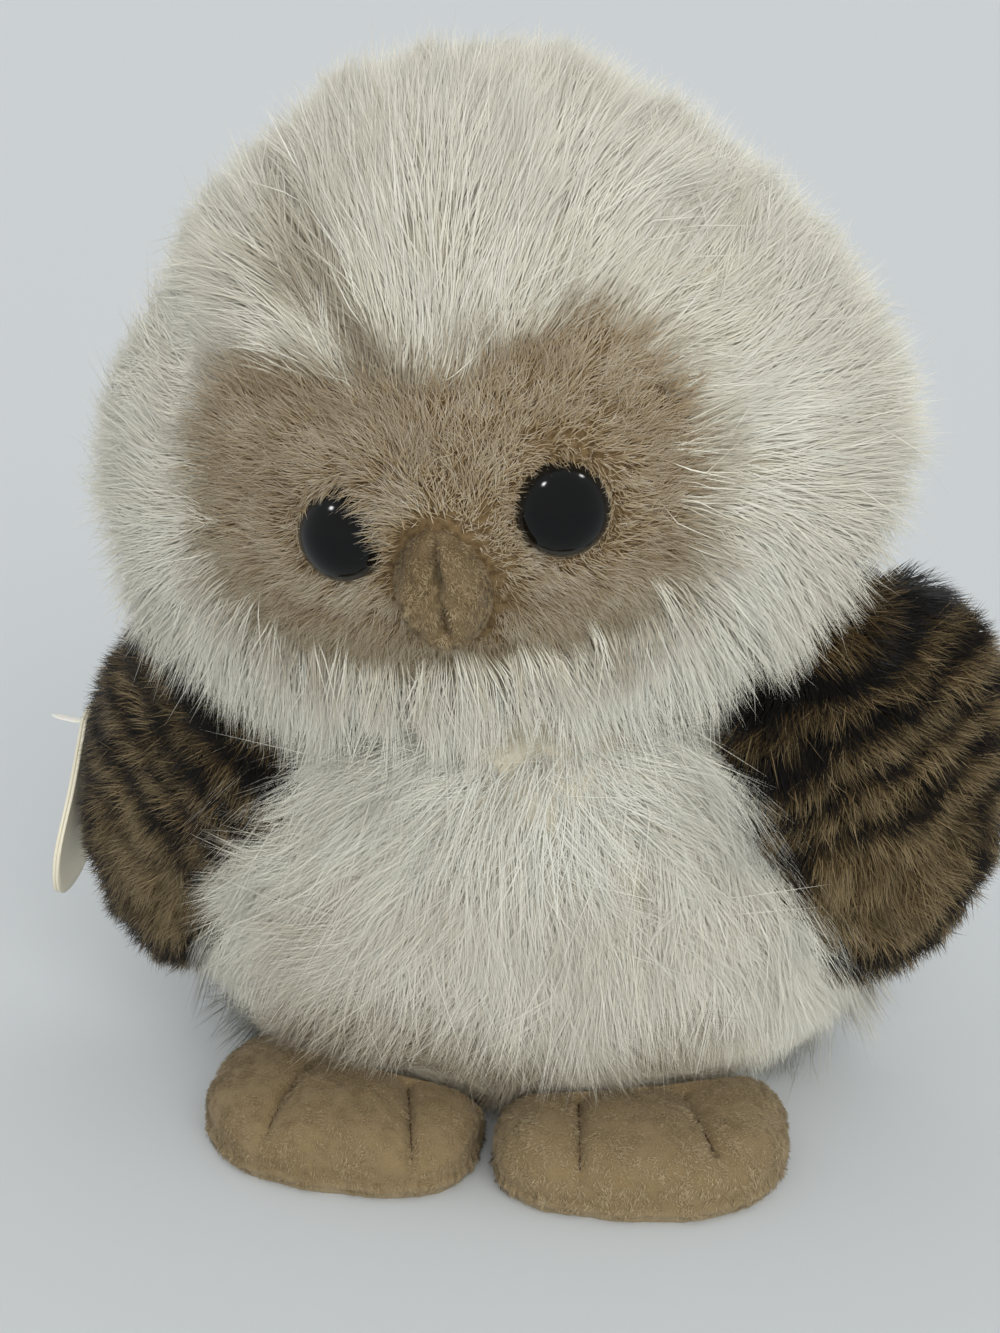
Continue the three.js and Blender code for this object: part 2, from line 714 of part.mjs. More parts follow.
function buildFoot(side, bodySpace) {
  const name = side > 0 ? "left" : "right";
  const group = new THREE.Group();
  group.position.set((side * (footWidth + feetApart)) / 2, footTuck - bodyFront, 0);
  group.updateMatrix();
  owl.add(group);
  const intoFoot = group.matrix.clone().invert();
  const placeAt = ([outward, forward]) =>
    new THREE.Vector3(side * footWidth * outward, -footLength * forward, 0);

  // The pad lies flat: its outline is drawn from above, and its front face is the top of the foot
  const footPad = (inset, sides, rings) => {
    const rim = outlineOf(footOutlineShares, footWidth - 2 * inset, footLength - 2 * inset);
    const thick = footHalfThickness - inset;
    const lying = pad(rim, thick, thick, sides, rings, 0.5).rotateX(-Math.PI / 2).rotateZ(Math.PI);
    return solidOf(sided(lying, -side).translate(0, 0, footMiddle));
  };
  const hinge = placeAt(footPivotInnerShares).setZ(footPivotHeight);
  const outer = placeAt(footPivotOuterShares).setZ(footPivotHeight);
  const axis = new THREE.Vector3().subVectors(hinge, outer).multiplyScalar(side).normalize();
  const bodyHere = bodySpace.clone().applyMatrix4(intoFoot);
  const belly = solidOf(bodyHere).add(solidOf(turnedAbout(bodyHere, hinge, axis, -footLift)));

  const reach = footWidth + footLength + overrun;
  const slice = (low, high) =>
    solidOf(boxBetween(new THREE.Vector3(-reach, -reach, low), new THREE.Vector3(reach, reach, high)));
  const whole = footPad(0, 24, 8);
  const outside = whole.subtract(belly);
  const hollow = footPad(footCover, 16, 6).intersect(slice(footSole + seamGap, reach));
  let upper = outside.intersect(slice(footSole + seamGap, reach)).subtract(hollow);

  const top = new THREE.Mesh(geometryOf(whole));
  const pointCount = 6;
  for (const line of toeLineShares) {
    const points = [];
    for (let i = 0; i < pointCount; i++) {
      const t = i / (pointCount - 1);
      const target = placeAt(line.back).lerp(placeAt(line.front), t).setZ(footMiddle);
      points.push(surfacePoint(top, target, toeLineDip * t, threadRadius / 2));
    }
    const path = new THREE.CatmullRomCurve3(points);
    const stitches = solidOf(cordAlong(path, threadRadius, pointCount)).subtract(belly);
    addMesh(group, `toe_stitch_${name}_${line.name}`, stitches, paints.thread);
    const start = points[0].clone().sub(points[1]).setLength(fillGap).add(points[0]);
    const end = points.at(-1).clone().sub(points.at(-2)).setLength(fillGap).add(points.at(-1));
    const longer = new THREE.CatmullRomCurve3([start, ...points, end]);
    upper = upper.subtract(solidOf(cordAlong(longer, threadRadius + fillGap, pointCount)));
  }
  addMesh(group, `foot_${name}_upper`, upper, paints.velour);
  // The sole moves away from the body as the foot lifts, so only the body at rest cuts it. The cutter hangs
  // below the floor, clear of the sole's plane
  const lowered = solidOf(bodyHere.clone().translate(0, 0, -footSole));
  addMesh(group, `foot_${name}_sole`, whole.intersect(slice(0, footSole)).subtract(lowered), paints.velour);
  const filling = footPad(footCover + fillGap, 16, 6)
    .intersect(slice(footSole + fillGap, reach))
    .subtract(belly);
  addMesh(group, `foot_${name}_filling`, filling, paints.filling);
}

// Where a line from above, tipped forwards, meets a mesh on its way to a target, plus some depth.
function surfacePoint(mesh, target, tip, depth) {
  mesh.updateMatrixWorld();
  const inwards = new THREE.Vector3(0, Math.sin(tip), -Math.cos(tip));
  const start = target.clone().addScaledVector(inwards, -overrun);
  const hit = new THREE.Raycaster(start, inwards).intersectObject(mesh)[0].point;
  return hit.addScaledVector(inwards, depth);
}

function cordAlong(path, radius, steps) {
  const section = new THREE.Shape(new THREE.EllipseCurve(0, 0, radius, radius).getPoints(6).slice(0, -1));
  return new THREE.ExtrudeGeometry(section, { steps: 2 * steps, extrudePath: path, bevelEnabled: false });
}

buildHead();
buildBody();
const bodySpaceForm = bodyForm(-motionGap, 28, 10);
const headSpaceForm = geometryOf(headSwept());
for (const side of [1, -1]) {
  buildWing(side, bodySpaceForm, headSpaceForm);
  buildFoot(side, bodySpaceForm);
}

export default owl;
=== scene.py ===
"""A sitting plush owl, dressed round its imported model: backings, pile, eyes, beak, feet, tag and fillings.

Sizes are in millimetres, +Z is up and the owl looks along -Y. A mesh is written in metres at the very end.
"""

from __future__ import annotations

import json
import logging
import math
from dataclasses import dataclass, replace
from enum import Enum
from typing import Callable, Sequence

import bmesh
import bpy
import numpy as np
from mathutils import Matrix, Vector

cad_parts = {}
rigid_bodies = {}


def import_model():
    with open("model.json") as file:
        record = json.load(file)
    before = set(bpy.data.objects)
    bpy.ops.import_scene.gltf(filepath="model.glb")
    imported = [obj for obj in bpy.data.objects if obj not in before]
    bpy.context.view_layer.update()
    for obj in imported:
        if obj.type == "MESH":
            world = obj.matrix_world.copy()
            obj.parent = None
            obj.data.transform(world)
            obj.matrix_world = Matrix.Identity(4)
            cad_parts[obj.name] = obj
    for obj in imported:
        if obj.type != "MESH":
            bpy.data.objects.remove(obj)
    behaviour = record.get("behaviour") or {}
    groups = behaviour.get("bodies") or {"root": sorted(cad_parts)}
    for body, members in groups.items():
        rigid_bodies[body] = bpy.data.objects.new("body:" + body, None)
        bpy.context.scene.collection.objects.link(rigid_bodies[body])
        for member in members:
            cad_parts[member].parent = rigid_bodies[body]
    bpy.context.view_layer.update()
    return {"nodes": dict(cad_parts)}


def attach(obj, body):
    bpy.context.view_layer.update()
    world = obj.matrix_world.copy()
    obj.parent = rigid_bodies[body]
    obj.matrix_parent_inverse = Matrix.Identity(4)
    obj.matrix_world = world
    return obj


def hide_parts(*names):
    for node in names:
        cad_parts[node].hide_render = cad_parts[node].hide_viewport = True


Array = np.ndarray
Piece = bpy.types.Object
Field = Callable[[Array], Array]  # from (n, 3) places in mm to n numbers
Comb = Callable[[Array, Array], Array]  # from places and outward normals to the way that the pile lies
Socket = bpy.types.NodeSocket
Stops = Sequence[tuple[float, str]]  # places from 0 to 1 with sRGB hex colours

log = logging.getLogger("owl")
MM = 0.001
TURN = 2 * math.pi
DOWN = np.array([0.0, 0.0, -1.0])
WAVES = 7  # in a ripple
DOUBLES = 1e-6  # m, under which corners are one
NECK_RADIUS, NECK_BACK = 18.6, 3.0  # mm, the filling's round neck and how far back its middle is


class Side(Enum):
    """The owl's own left (+X) or right (-X)."""

    LEFT = 1
    RIGHT = -1

    @property
    def word(self) -> str:
        """The side as it stands in the names of pieces."""
        return self.name.lower()


def unit(vectors: Array) -> Array:
    """Vectors divided by their own lengths."""
    return vectors / np.maximum(np.linalg.norm(vectors, axis=-1, keepdims=True), 1e-9)


def smooth(values: Array, low: float, high: float) -> Array:
    """0 under low, 1 over high, and 3t^2 - 2t^3 between them."""
    t = np.clip((values - low) / (high - low), 0, 1)
    return t * t * (3 - 2 * t)


def tangent(vectors: Array, normals: Array) -> Array:
    """The part of each vector that lies in the surface, v - (v.n) n, as a unit vector."""
    return unit(vectors - np.sum(vectors * normals, axis=-1, keepdims=True) * normals)


def turned(vectors: Array, axes: Array, angles: Array) -> Array:
    """Vectors at right angles to their axes, turned about them: v cos a + (n x v) sin a."""
    a = np.asarray(angles)[..., None]
    return vectors * np.cos(a) + np.cross(axes, vectors) * np.sin(a)


def ripple(points: Array, size: float, seed: int) -> Array:
    """Smooth unevenness: 0.75 / sqrt(n) times the sum of n sine waves in random directions.

    Args:
        points: places in mm, (..., 3).
        size: length of a wave in mm.
        seed: chooses the waves.

    Returns:
        One number for each place, mostly from -1 to 1.
    """
    rng = np.random.default_rng(seed)
    ways = unit(rng.normal(size=(WAVES, 3))) * rng.uniform(0.7, 1.5, (WAVES, 1)) * TURN / size
    return np.sin(points @ ways.T + rng.uniform(0, TURN, WAVES)).sum(-1) / math.sqrt(WAVES) * 0.75


def through(points: Sequence[Sequence[float]], t: Array, closed: bool) -> Array:
    """A Catmull-Rom curve through points, tension 1/2, at parameters from 0 to 1.

    Between p1 and p2 it is the cubic with the slopes (p2 - p0) / 2 and (p3 - p1) / 2. An open curve has one
    more point past each end, in line with the last two.

    Args:
        points: the points.
        t: parameters.
        closed: whether the last point joins the first.

    Returns:
        Places on the curve, t.shape + (dimensions,).
    """
    p = np.asarray(points, float)
    count = len(p) if closed else len(p) - 1
    place = np.clip(np.asarray(t, float), 0, 1) * count
    first = np.minimum(place.astype(int), count - 1)
    w = (place - first)[..., None]
    if closed:
        p0, p1, p2, p3 = (p[(first + k) % len(p)] for k in (-1, 0, 1, 2))
    else:
        q = np.vstack([2 * p[0] - p[1], p, 2 * p[-1] - p[-2]])
        p0, p1, p2, p3 = (q[first + k] for k in (0, 1, 2, 3))
    s1, s2 = (p2 - p0) / 2, (p3 - p1) / 2
    return p1 + s1 * w + (3 * (p2 - p1) - 2 * s1 - s2) * w**2 + (2 * (p1 - p2) + s1 + s2) * w**3


def mirrored(half: Sequence[Sequence[float]]) -> Array:
    """A closed outline from its half at x >= 0, whose first and last points are on the axis."""
    return np.vstack([half, (np.array(half)[1:-1] * [-1, 1])[::-1]])


def share_of(x: Array, y: Array, outline: Array) -> Array:
    """Distances from the middle of an outline, as shares of its own distance that way.

    Args:
        x: across.
        y: along.
        outline: (n, 2) round the middle.

    Returns:
        1 on the outline.
    """
    angle = np.arctan2(outline[:, 1], outline[:, 0])
    order = np.argsort(angle)
    far = np.interp(np.arctan2(y, x), angle[order], np.hypot(*outline[order].T), period=TURN)
    return np.hypot(x, y) / far


def in_neck(points: Array) -> Array:
    """1 within the round neck of the fillings, fading to 0 in its outer 1.5 mm."""
    return smooth(NECK_RADIUS - np.hypot(points[..., 0], points[..., 1] - NECK_BACK), 0, 1.5)


@dataclass(frozen=True)
class Place:
    """Where a form stands: its own axes as columns, and its origin in mm."""

    origin: tuple[float, float, float] = (0.0, 0.0, 0.0)
    lean: float = 0.0  # degrees about Y
    sweep: float = 0.0  # degrees about Z, after the lean

    @property
    def axes(self) -> Array:
        """The form's axes, Rz(sweep) Ry(lean).

        Returns:
            (3, 3), an axis in each column.
        """
        b, c = math.radians(self.lean), math.radians(self.sweep)
        lean = np.array([[math.cos(b), 0, math.sin(b)], [0, 1, 0], [-math.sin(b), 0, math.cos(b)]])
        sweep = np.array([[math.cos(c), -math.sin(c), 0], [math.sin(c), math.cos(c), 0], [0, 0, 1]])
        return sweep @ lean

    def out(self, points: Array) -> Array:
        """From the form's own frame to the owl's."""
        return points @ self.axes.T + np.array(self.origin)

    def into(self, points: Array) -> Array:
        """From the owl's frame to the form's own."""
        return (points - np.array(self.origin)) @ self.axes


class Form:
    """A closed surface: u runs round it and v from pole to pole, both from 0 to 1."""

    def at(self, u: Array, v: Array) -> Array:
        """Places in the owl's frame, in mm."""
        raise NotImplementedError

    def slopes(self, u: Array, v: Array) -> tuple[Array, Array]:
        """The two derivatives, by central differences.

        Args:
            u: round the form.
            v: from pole to pole.

        Returns:
            dP/du and dP/dv.
        """
        h = 1e-3
        low, high = np.clip(v - h, 1e-4, 1), np.clip(v + h, 0, 1 - 1e-4)
        across = (self.at(u + h, v) - self.at(u - h, v)) / (2 * h)
        return across, (self.at(u, high) - self.at(u, low)) / (high - low)[..., None]

    def normal(self, u: Array, v: Array) -> Array:
        """Outward unit normals, from the cross product of the two derivatives."""
        across, along = self.slopes(u, np.clip(v, 2e-3, 1 - 2e-3))
        return unit(np.cross(across, along))

    def scatter(self, count: int, rng: np.random.Generator) -> Array:
        """Parameters of places spread evenly over the surface.

        Args:
            count: how many.
            rng: the source of chance.

        Returns:
            (count, 2): of an even sequence, the places whose third number is lowest for their area,
            |dP/du x dP/dv|.
        """
        ways = 1.2207440846057596 ** -np.arange(1.0, 4.0)
        tries = (np.arange(count * 8)[:, None] * ways + rng.random(3)) % 1
        area = np.linalg.norm(np.cross(*self.slopes(tries[:, 0], tries[:, 1])), axis=1)
        return tries[np.sort(np.argsort(tries[:, 2] / area)[:count]), :2]

    def nudge(self, uv: Array, spread: float, rng: np.random.Generator) -> Array:
        """Parameters moved within the surface: each shift is divided by its derivative's length.

        Args:
            uv: (n, 2) parameters.
            spread: standard deviation of the shifts, in mm.
            rng: the source of chance.

        Returns:
            (n, 2).
        """
        across, along = self.slopes(uv[:, 0], uv[:, 1])
        size = np.stack([np.linalg.norm(across, axis=1), np.linalg.norm(along, axis=1)], 1)
        moved = uv + rng.normal(size=uv.shape) * spread / np.maximum(size, 12)
        return np.stack([moved[:, 0] % 1, np.clip(moved[:, 1], 2e-3, 1 - 2e-3)], 1)

    def grid(self, rows: int, columns: int, low: float = 0.0, high: float = 1.0) -> tuple[Array, Array]:
        """Parameters of a grid, v by rows and u by columns, the last column short of the first."""
        v, u = np.meshgrid(np.linspace(low, high, rows), np.arange(columns) / columns, indexing="ij")
        return u, v


@dataclass(frozen=True)
class Egg(Form):
    """Four radii and a place. P = (w sin p cos a, d sin p sin a, -h cos p), a = 2 pi u, p = pi v,
    with h the drop under the middle and the rise over it."""

    width: float
    depth: float
    rise: float
    drop: float
    place: Place

    def inset(self, amount: float) -> Egg:
        """The same form, smaller all round."""
        return replace(self, width=self.width - amount, depth=self.depth - amount,
                       rise=self.rise - amount, drop=self.drop - amount)  # fmt: skip

    def local(self, u: Array, v: Array) -> Array:
        """Places in the form's own frame.

        Args:
            u: round the form.
            v: from the bottom to the top.

        Returns:
            (..., 3) in mm.
        """
        a, p = TURN * u, math.pi * v
        height = np.where(v > 0.5, self.rise, self.drop)
        x, y = self.width * np.sin(p) * np.cos(a), self.depth * np.sin(p) * np.sin(a)
        return np.stack([x, y, -height * np.cos(p)], -1)

    def at(self, u: Array, v: Array) -> Array:
        """Places in the owl's frame, in mm."""
        return self.place.out(self.local(u, v))

    def clear(self, points: Array, gap: float) -> Array:
        """Points inside the form grown by a gap, moved straight out from its middle to its surface.

        Args:
            points: (..., 3) in mm.
            gap: in mm.

        Returns:
            The points.
        """
        own = self.place.into(points)
        height = np.where(own[..., 2] > 0, self.rise, self.drop) + gap
        width, depth = np.full_like(height, self.width + gap), np.full_like(height, self.depth + gap)
        radii = np.stack([width, depth, height], -1)
        share = np.maximum(np.linalg.norm(own / radii, axis=-1), 1e-3)[..., None]
        return np.where(share < 1, self.place.out(own / share), points)


@dataclass(frozen=True)
class Trunk(Form):
    """An upright form with oval sections, flat at both ends. At a height with half width w, front f and
    back b: P = (w cos a, (b - f) / 2 + (b + f) / 2 sin a, z). Sections are smooth through the stations."""

    half_width: float = 76.0
    front: float = 45.0
    back: float = 60.0
    height: float = 104.0
    less: float = 0.0
    end: float = 0.06  # share of v that closes each flat end
    stations: tuple[tuple[float, ...], ...] = (  # height, half width, front, back
        (0.0, 0.72, 0.54, 0.82), (0.09, 0.88, 0.72, 0.94), (0.24, 1.0, 0.87, 1.0), (0.43, 0.97, 0.98, 1.0),
        (0.63, 0.86, 1.0, 0.92), (0.82, 0.71, 0.93, 0.76), (0.93, 0.58, 0.82, 0.62), (1.0, 0.47, 0.7, 0.52),
    )  # fmt: skip

    def inset(self, amount: float) -> Trunk:
        """The same form, smaller all round."""
        return replace(self, less=self.less + amount)

    def sections(self) -> Array:
        """The stations in mm, made smooth.

        Returns:
            Rows of height, half width, front and back.
        """
        whole = np.array([self.height, self.half_width, self.front, self.back])
        rows = through(np.array(self.stations) * whole, np.linspace(0, 1, 80), closed=False)
        rows[:, 1:] -= self.less
        rows[:, 0] = self.less + rows[:, 0] * (self.height - 2 * self.less) / self.height
        return rows

    def section(self, z: Array) -> tuple[Array, Array, Array]:
        """The oval at some heights.

        Args:
            z: in mm.

        Returns:
            Half width, middle and half depth.
        """
        rows = self.sections()
        w, f, b = (np.interp(z, rows[:, 0], rows[:, k]) for k in (1, 2, 3))
        return w, (b - f) / 2, (b + f) / 2

    def at(self, u: Array, v: Array) -> Array:
        """Places in the owl's frame.

        Args:
            u: round the form.
            v: from the middle of the bottom to the middle of the top.

        Returns:
            (..., 3) in mm.
        """
        low, high = self.less, self.height - self.less
        z = low + (high - low) * np.clip((v - self.end) / (1 - 2 * self.end), 0, 1)
        reach = np.clip(np.minimum(v, 1 - v) / self.end, 0, 1)
        w, middle, depth = self.section(z)
        a = TURN * u
        return np.stack([w * np.cos(a) * reach, middle + depth * np.sin(a) * reach, z], -1)

    def clear(self, points: Array, gap: float) -> Array:
        """Points inside the form grown by a gap, moved out level from its axis to its surface.

        Args:
            points: (..., 3) in mm.
            gap: in mm.

        Returns:
            The points.
        """
        w, middle, depth = self.section(points[..., 2])
        x, y = points[..., 0], points[..., 1] - middle
        share = np.maximum(np.hypot(x / (w + gap), y / (depth + gap)), 1e-3)
        inside = (share < 1) & (points[..., 2] < self.height) & (points[..., 2] > 0)
        out = np.stack([x / share, middle + y / share, points[..., 2]], -1)
        return np.where(inside[..., None], out, points)


@dataclass(frozen=True)
class Pad(Form):
    """A stuffed pad: an outline that shrinks to a pole on each face. With E(u) the outline and
    s = (v - 1/2) pi, the outline is scaled by cos(s)^fullness and the height off the middle plane is
    thick sin(s). A fullness under 1 keeps the faces flat and the rim round."""

    outline: tuple[tuple[float, float], ...]
    across: float
    long: float
    thick: float
    back: float
    fullness: float
    mirror: int
    place: Place
    lying: bool = False

    def inset(self, amount: float) -> Pad:
        """The same form, smaller all round."""
        return replace(self, across=self.across - 2 * amount, long=self.long - 2 * amount,
                       thick=self.thick - amount, back=self.back - amount)  # fmt: skip

    def plan(self, u: Array) -> Array:
        """The outline in the pad's own plane, run so that the faces point outwards.

        Args:
            u: round the outline.

        Returns:
            (..., 2) in mm.
        """
        round_way = -self.mirror if self.lying else self.mirror
        t = (round_way * np.asarray(u)) % 1
        return through(np.array(self.outline) * [self.across, self.long], t, closed=True) * [self.mirror, 1]

    def local(self, u: Array, v: Array) -> Array:
        """Places in the pad's own frame. Upright pads face -Y, lying ones +Z with their length along -Y.

        Args:
            u: round the outline.
            v: from the middle of one face to the middle of the other.

        Returns:
            (..., 3) in mm.
        """
        s = (np.asarray(v) - 0.5) * math.pi
        plan = self.plan(u) * (np.maximum(np.cos(s), 0) ** self.fullness)[..., None]
        off = np.sin(s) * np.where(s > 0, self.thick, self.back)
        if self.lying:
            return np.stack([plan[..., 0], -plan[..., 1], off], -1)
        return np.stack([plan[..., 0], -off, plan[..., 1]], -1)

    def at(self, u: Array, v: Array) -> Array:
        """Places in the owl's frame, in mm."""
        return self.place.out(self.local(u, v))


def put_mesh(name: str, points: Array, faces: Array | list[Array], soft: bool = True,
             facing: Array | None = None) -> Piece:  # fmt: skip
    """An object from places in mm and arrays of corner numbers.

    Args:
        name: the piece's name.
        points: (n, 3) in mm.
        faces: one array of faces, or several with different corner counts.
        soft: whether the shading is smooth.
        facing: (n, 3) unit normals for the shading, where they aren't the faces' own.

    Returns:
        The object, at the origin.
    """
    groups = [f for f in (faces if isinstance(faces, list) else [faces]) if len(f)]
    corners = np.concatenate([g.ravel() for g in groups])
    counts = np.concatenate([np.full(len(g), g.shape[1]) for g in groups])
    mesh = bpy.data.meshes.new(name)
    mesh.vertices.add(len(points))
    mesh.vertices.foreach_set("co", (points * MM).astype(np.float32).ravel())
    mesh.loops.add(len(corners))
    mesh.loops.foreach_set("vertex_index", corners.astype(np.int32))
    mesh.polygons.add(len(counts))
    mesh.polygons.foreach_set("loop_start", (np.cumsum(counts) - counts).astype(np.int32))
    mesh.polygons.foreach_set("use_smooth", np.full(len(counts), soft))
    mesh.update(calc_edges=True)
    if facing is not None:
        mesh.normals_split_custom_set_from_vertices(facing.astype(np.float32))
    piece = bpy.data.objects.new(name, mesh)
    bpy.context.scene.collection.objects.link(piece)
    return piece


def merge(piece: Piece) -> Piece:
    """Joins corners in one place, drops faces of no size, and turns all faces outwards.

    Args:
        piece: the piece.

    Returns:
        The same piece.
    """
    work = bmesh.new()
    work.from_mesh(piece.data)
    bmesh.ops.remove_doubles(work, verts=work.verts, dist=DOUBLES)
    bmesh.ops.dissolve_degenerate(work, edges=work.edges, dist=DOUBLES)
    bmesh.ops.delete(work, geom=[v for v in work.verts if not v.link_faces], context="VERTS")
    bmesh.ops.recalc_face_normals(work, faces=work.faces)
    work.to_mesh(piece.data)
    work.free()
    return piece


def closed_grid(name: str, points: Array) -> Piece:
    """A closed surface from a grid whose columns join up and whose end rows are poles.

    Args:
        name: the piece's name.
        points: (rows, columns, 3) in mm.

    Returns:
        The object.
    """
    rows, columns = points.shape[:2]
    number = np.arange(rows * columns).reshape(rows, columns)
    number[0], number[-1] = number[0, 0], number[-1, 0]
    beside = np.roll(number, -1, axis=1)
    quads = np.stack([number[1:-2], beside[1:-2], beside[2:-1], number[2:-1]], -1).reshape(-1, 4)
    low = np.stack([number[0], beside[1], number[1]], -1)
    high = np.stack([number[-2], beside[-2], number[-1]], -1)
    return merge(put_mesh(name, points.reshape(-1, 3), [quads, np.concatenate([low, high])]))


def shell_grid(name: str, outer: Array, inner: Array, kept: Array) -> Piece:
    """A closed thick panel: the cells of a grid that are kept, outside and inside, and a wall at their edge.

    Args:
        name: the piece's name.
        outer: (rows, columns, 3) in mm, columns joining up.
        inner: the same for the inside.
        kept: (rows - 1, columns), true where the panel is.

    Returns:
        The object.
    """
    rows, columns = outer.shape[:2]
    number = np.arange(rows * columns).reshape(rows, columns)
    beside = np.roll(number, -1, axis=1)
    a, b, c, d = number[:-1], beside[:-1], beside[1:], number[1:]
    deep = rows * columns
    empty = np.zeros((1, columns), bool)
    sides = [
        (kept & ~np.vstack([empty, kept[:-1]]), a, b),
        (kept & ~np.roll(kept, -1, axis=1), b, c),
        (kept & ~np.vstack([kept[1:], empty]), c, d),
        (kept & ~np.roll(kept, 1, axis=1), d, a),
    ]
    walls = [np.stack([q[m], p[m], p[m] + deep, q[m] + deep], -1) for m, p, q in sides]
    face = np.stack([a[kept], b[kept], c[kept], d[kept]], -1)
    points = np.concatenate([outer.reshape(-1, 3), inner.reshape(-1, 3)])
    return merge(put_mesh(name, points, np.concatenate([face, face[:, ::-1] + deep, *walls])))


def ring_grid(name: str, points: Array) -> Piece:
    """A closed surface from a grid that joins up both ways, as a ring does.

    Args:
        name: the piece's name.
        points: (rows, columns, 3) in mm.

    Returns:
        The object.
    """
    number = np.arange(points.shape[0] * points.shape[1]).reshape(points.shape[:2])
    beside, after = np.roll(number, -1, axis=1), np.roll(number, -1, axis=0)
    quads = np.stack([number, beside, np.roll(after, -1, axis=1), after], -1).reshape(-1, 4)
    return merge(put_mesh(name, points.reshape(-1, 3), quads))


def beads(name: str, middles: Array, ways: Array, long: float, thick: float) -> Piece:
    """Short rounded stitches: each is an egg of 6 by 4 faces.

    Args:
        name: the piece's name.
        middles: (n, 3) in mm.
        ways: (n, 3) unit vectors along the stitches.
        long: in mm, along a stitch.
        thick: in mm, across it.

    Returns:
        The object.
    """
    v, u = np.meshgrid(np.linspace(0, math.pi, 5), TURN * np.arange(6) / 6, indexing="ij")
    across = [np.sin(v) * np.cos(u) * thick / 2, np.sin(v) * np.sin(u) * thick / 2]
    egg = np.stack([*across, -np.cos(v) * long / 2], -1)
    first = tangent(np.broadcast_to([0.3, 0.2, 0.9], ways.shape), ways)
    axes = np.stack([first, np.cross(ways, first), ways], -1)
    points = middles[:, None, None] + np.einsum("nij,rcj->nrci", axes, egg)
    number = np.arange(30).reshape(5, 6)
    beside = np.roll(number, -1, axis=1)
    quads = np.stack([number[:-1], beside[:-1], beside[1:], number[1:]], -1).reshape(-1, 4)
    start = (30 * np.arange(len(middles)))[:, None, None]
    return merge(put_mesh(name, points.reshape(-1, 3), (start + quads).reshape(-1, 4)))


def tube(name: str, path: Array, radii: Array, sides: int = 10) -> Piece:
    """A closed round tube along a path: P = C(v) + r(v) (cos a A + sin a B), with A and B across the path.

    Args:
        name: the piece's name.
        path: (n, 3) in mm.
        radii: (n,) in mm.
        sides: corners of each ring.

    Returns:
        The object.
    """
    way = unit(np.gradient(path, axis=0))
    lean = np.array([0.0, 0.0, 1.0]) if abs(way[:, 2]).max() < 0.9 else np.array([0.0, 1.0, 0.0])
    first = tangent(np.broadcast_to(lean, way.shape), way)
    second = np.cross(way, first)
    a = TURN * np.arange(sides) / sides
    ring = np.cos(a)[:, None] * first[:, None] + np.sin(a)[:, None] * second[:, None]
    body = path[:, None] + ring * radii[:, None, None]
    ends = [np.repeat(path[[k]], sides, 0)[None] for k in (0, -1)]
    return closed_grid(name, np.concatenate([ends[0], body, ends[1]]))


def linear(code: str) -> tuple[float, float, float, float]:
    """An sRGB hex colour as linear red, green and blue, and an alpha of 1."""
    parts = [int(code[k : k + 2], 16) / 255 for k in (1, 3, 5)]
    return (*[p / 12.92 if p <= 0.04045 else ((p + 0.055) / 1.055) ** 2.4 for p in parts], 1.0)


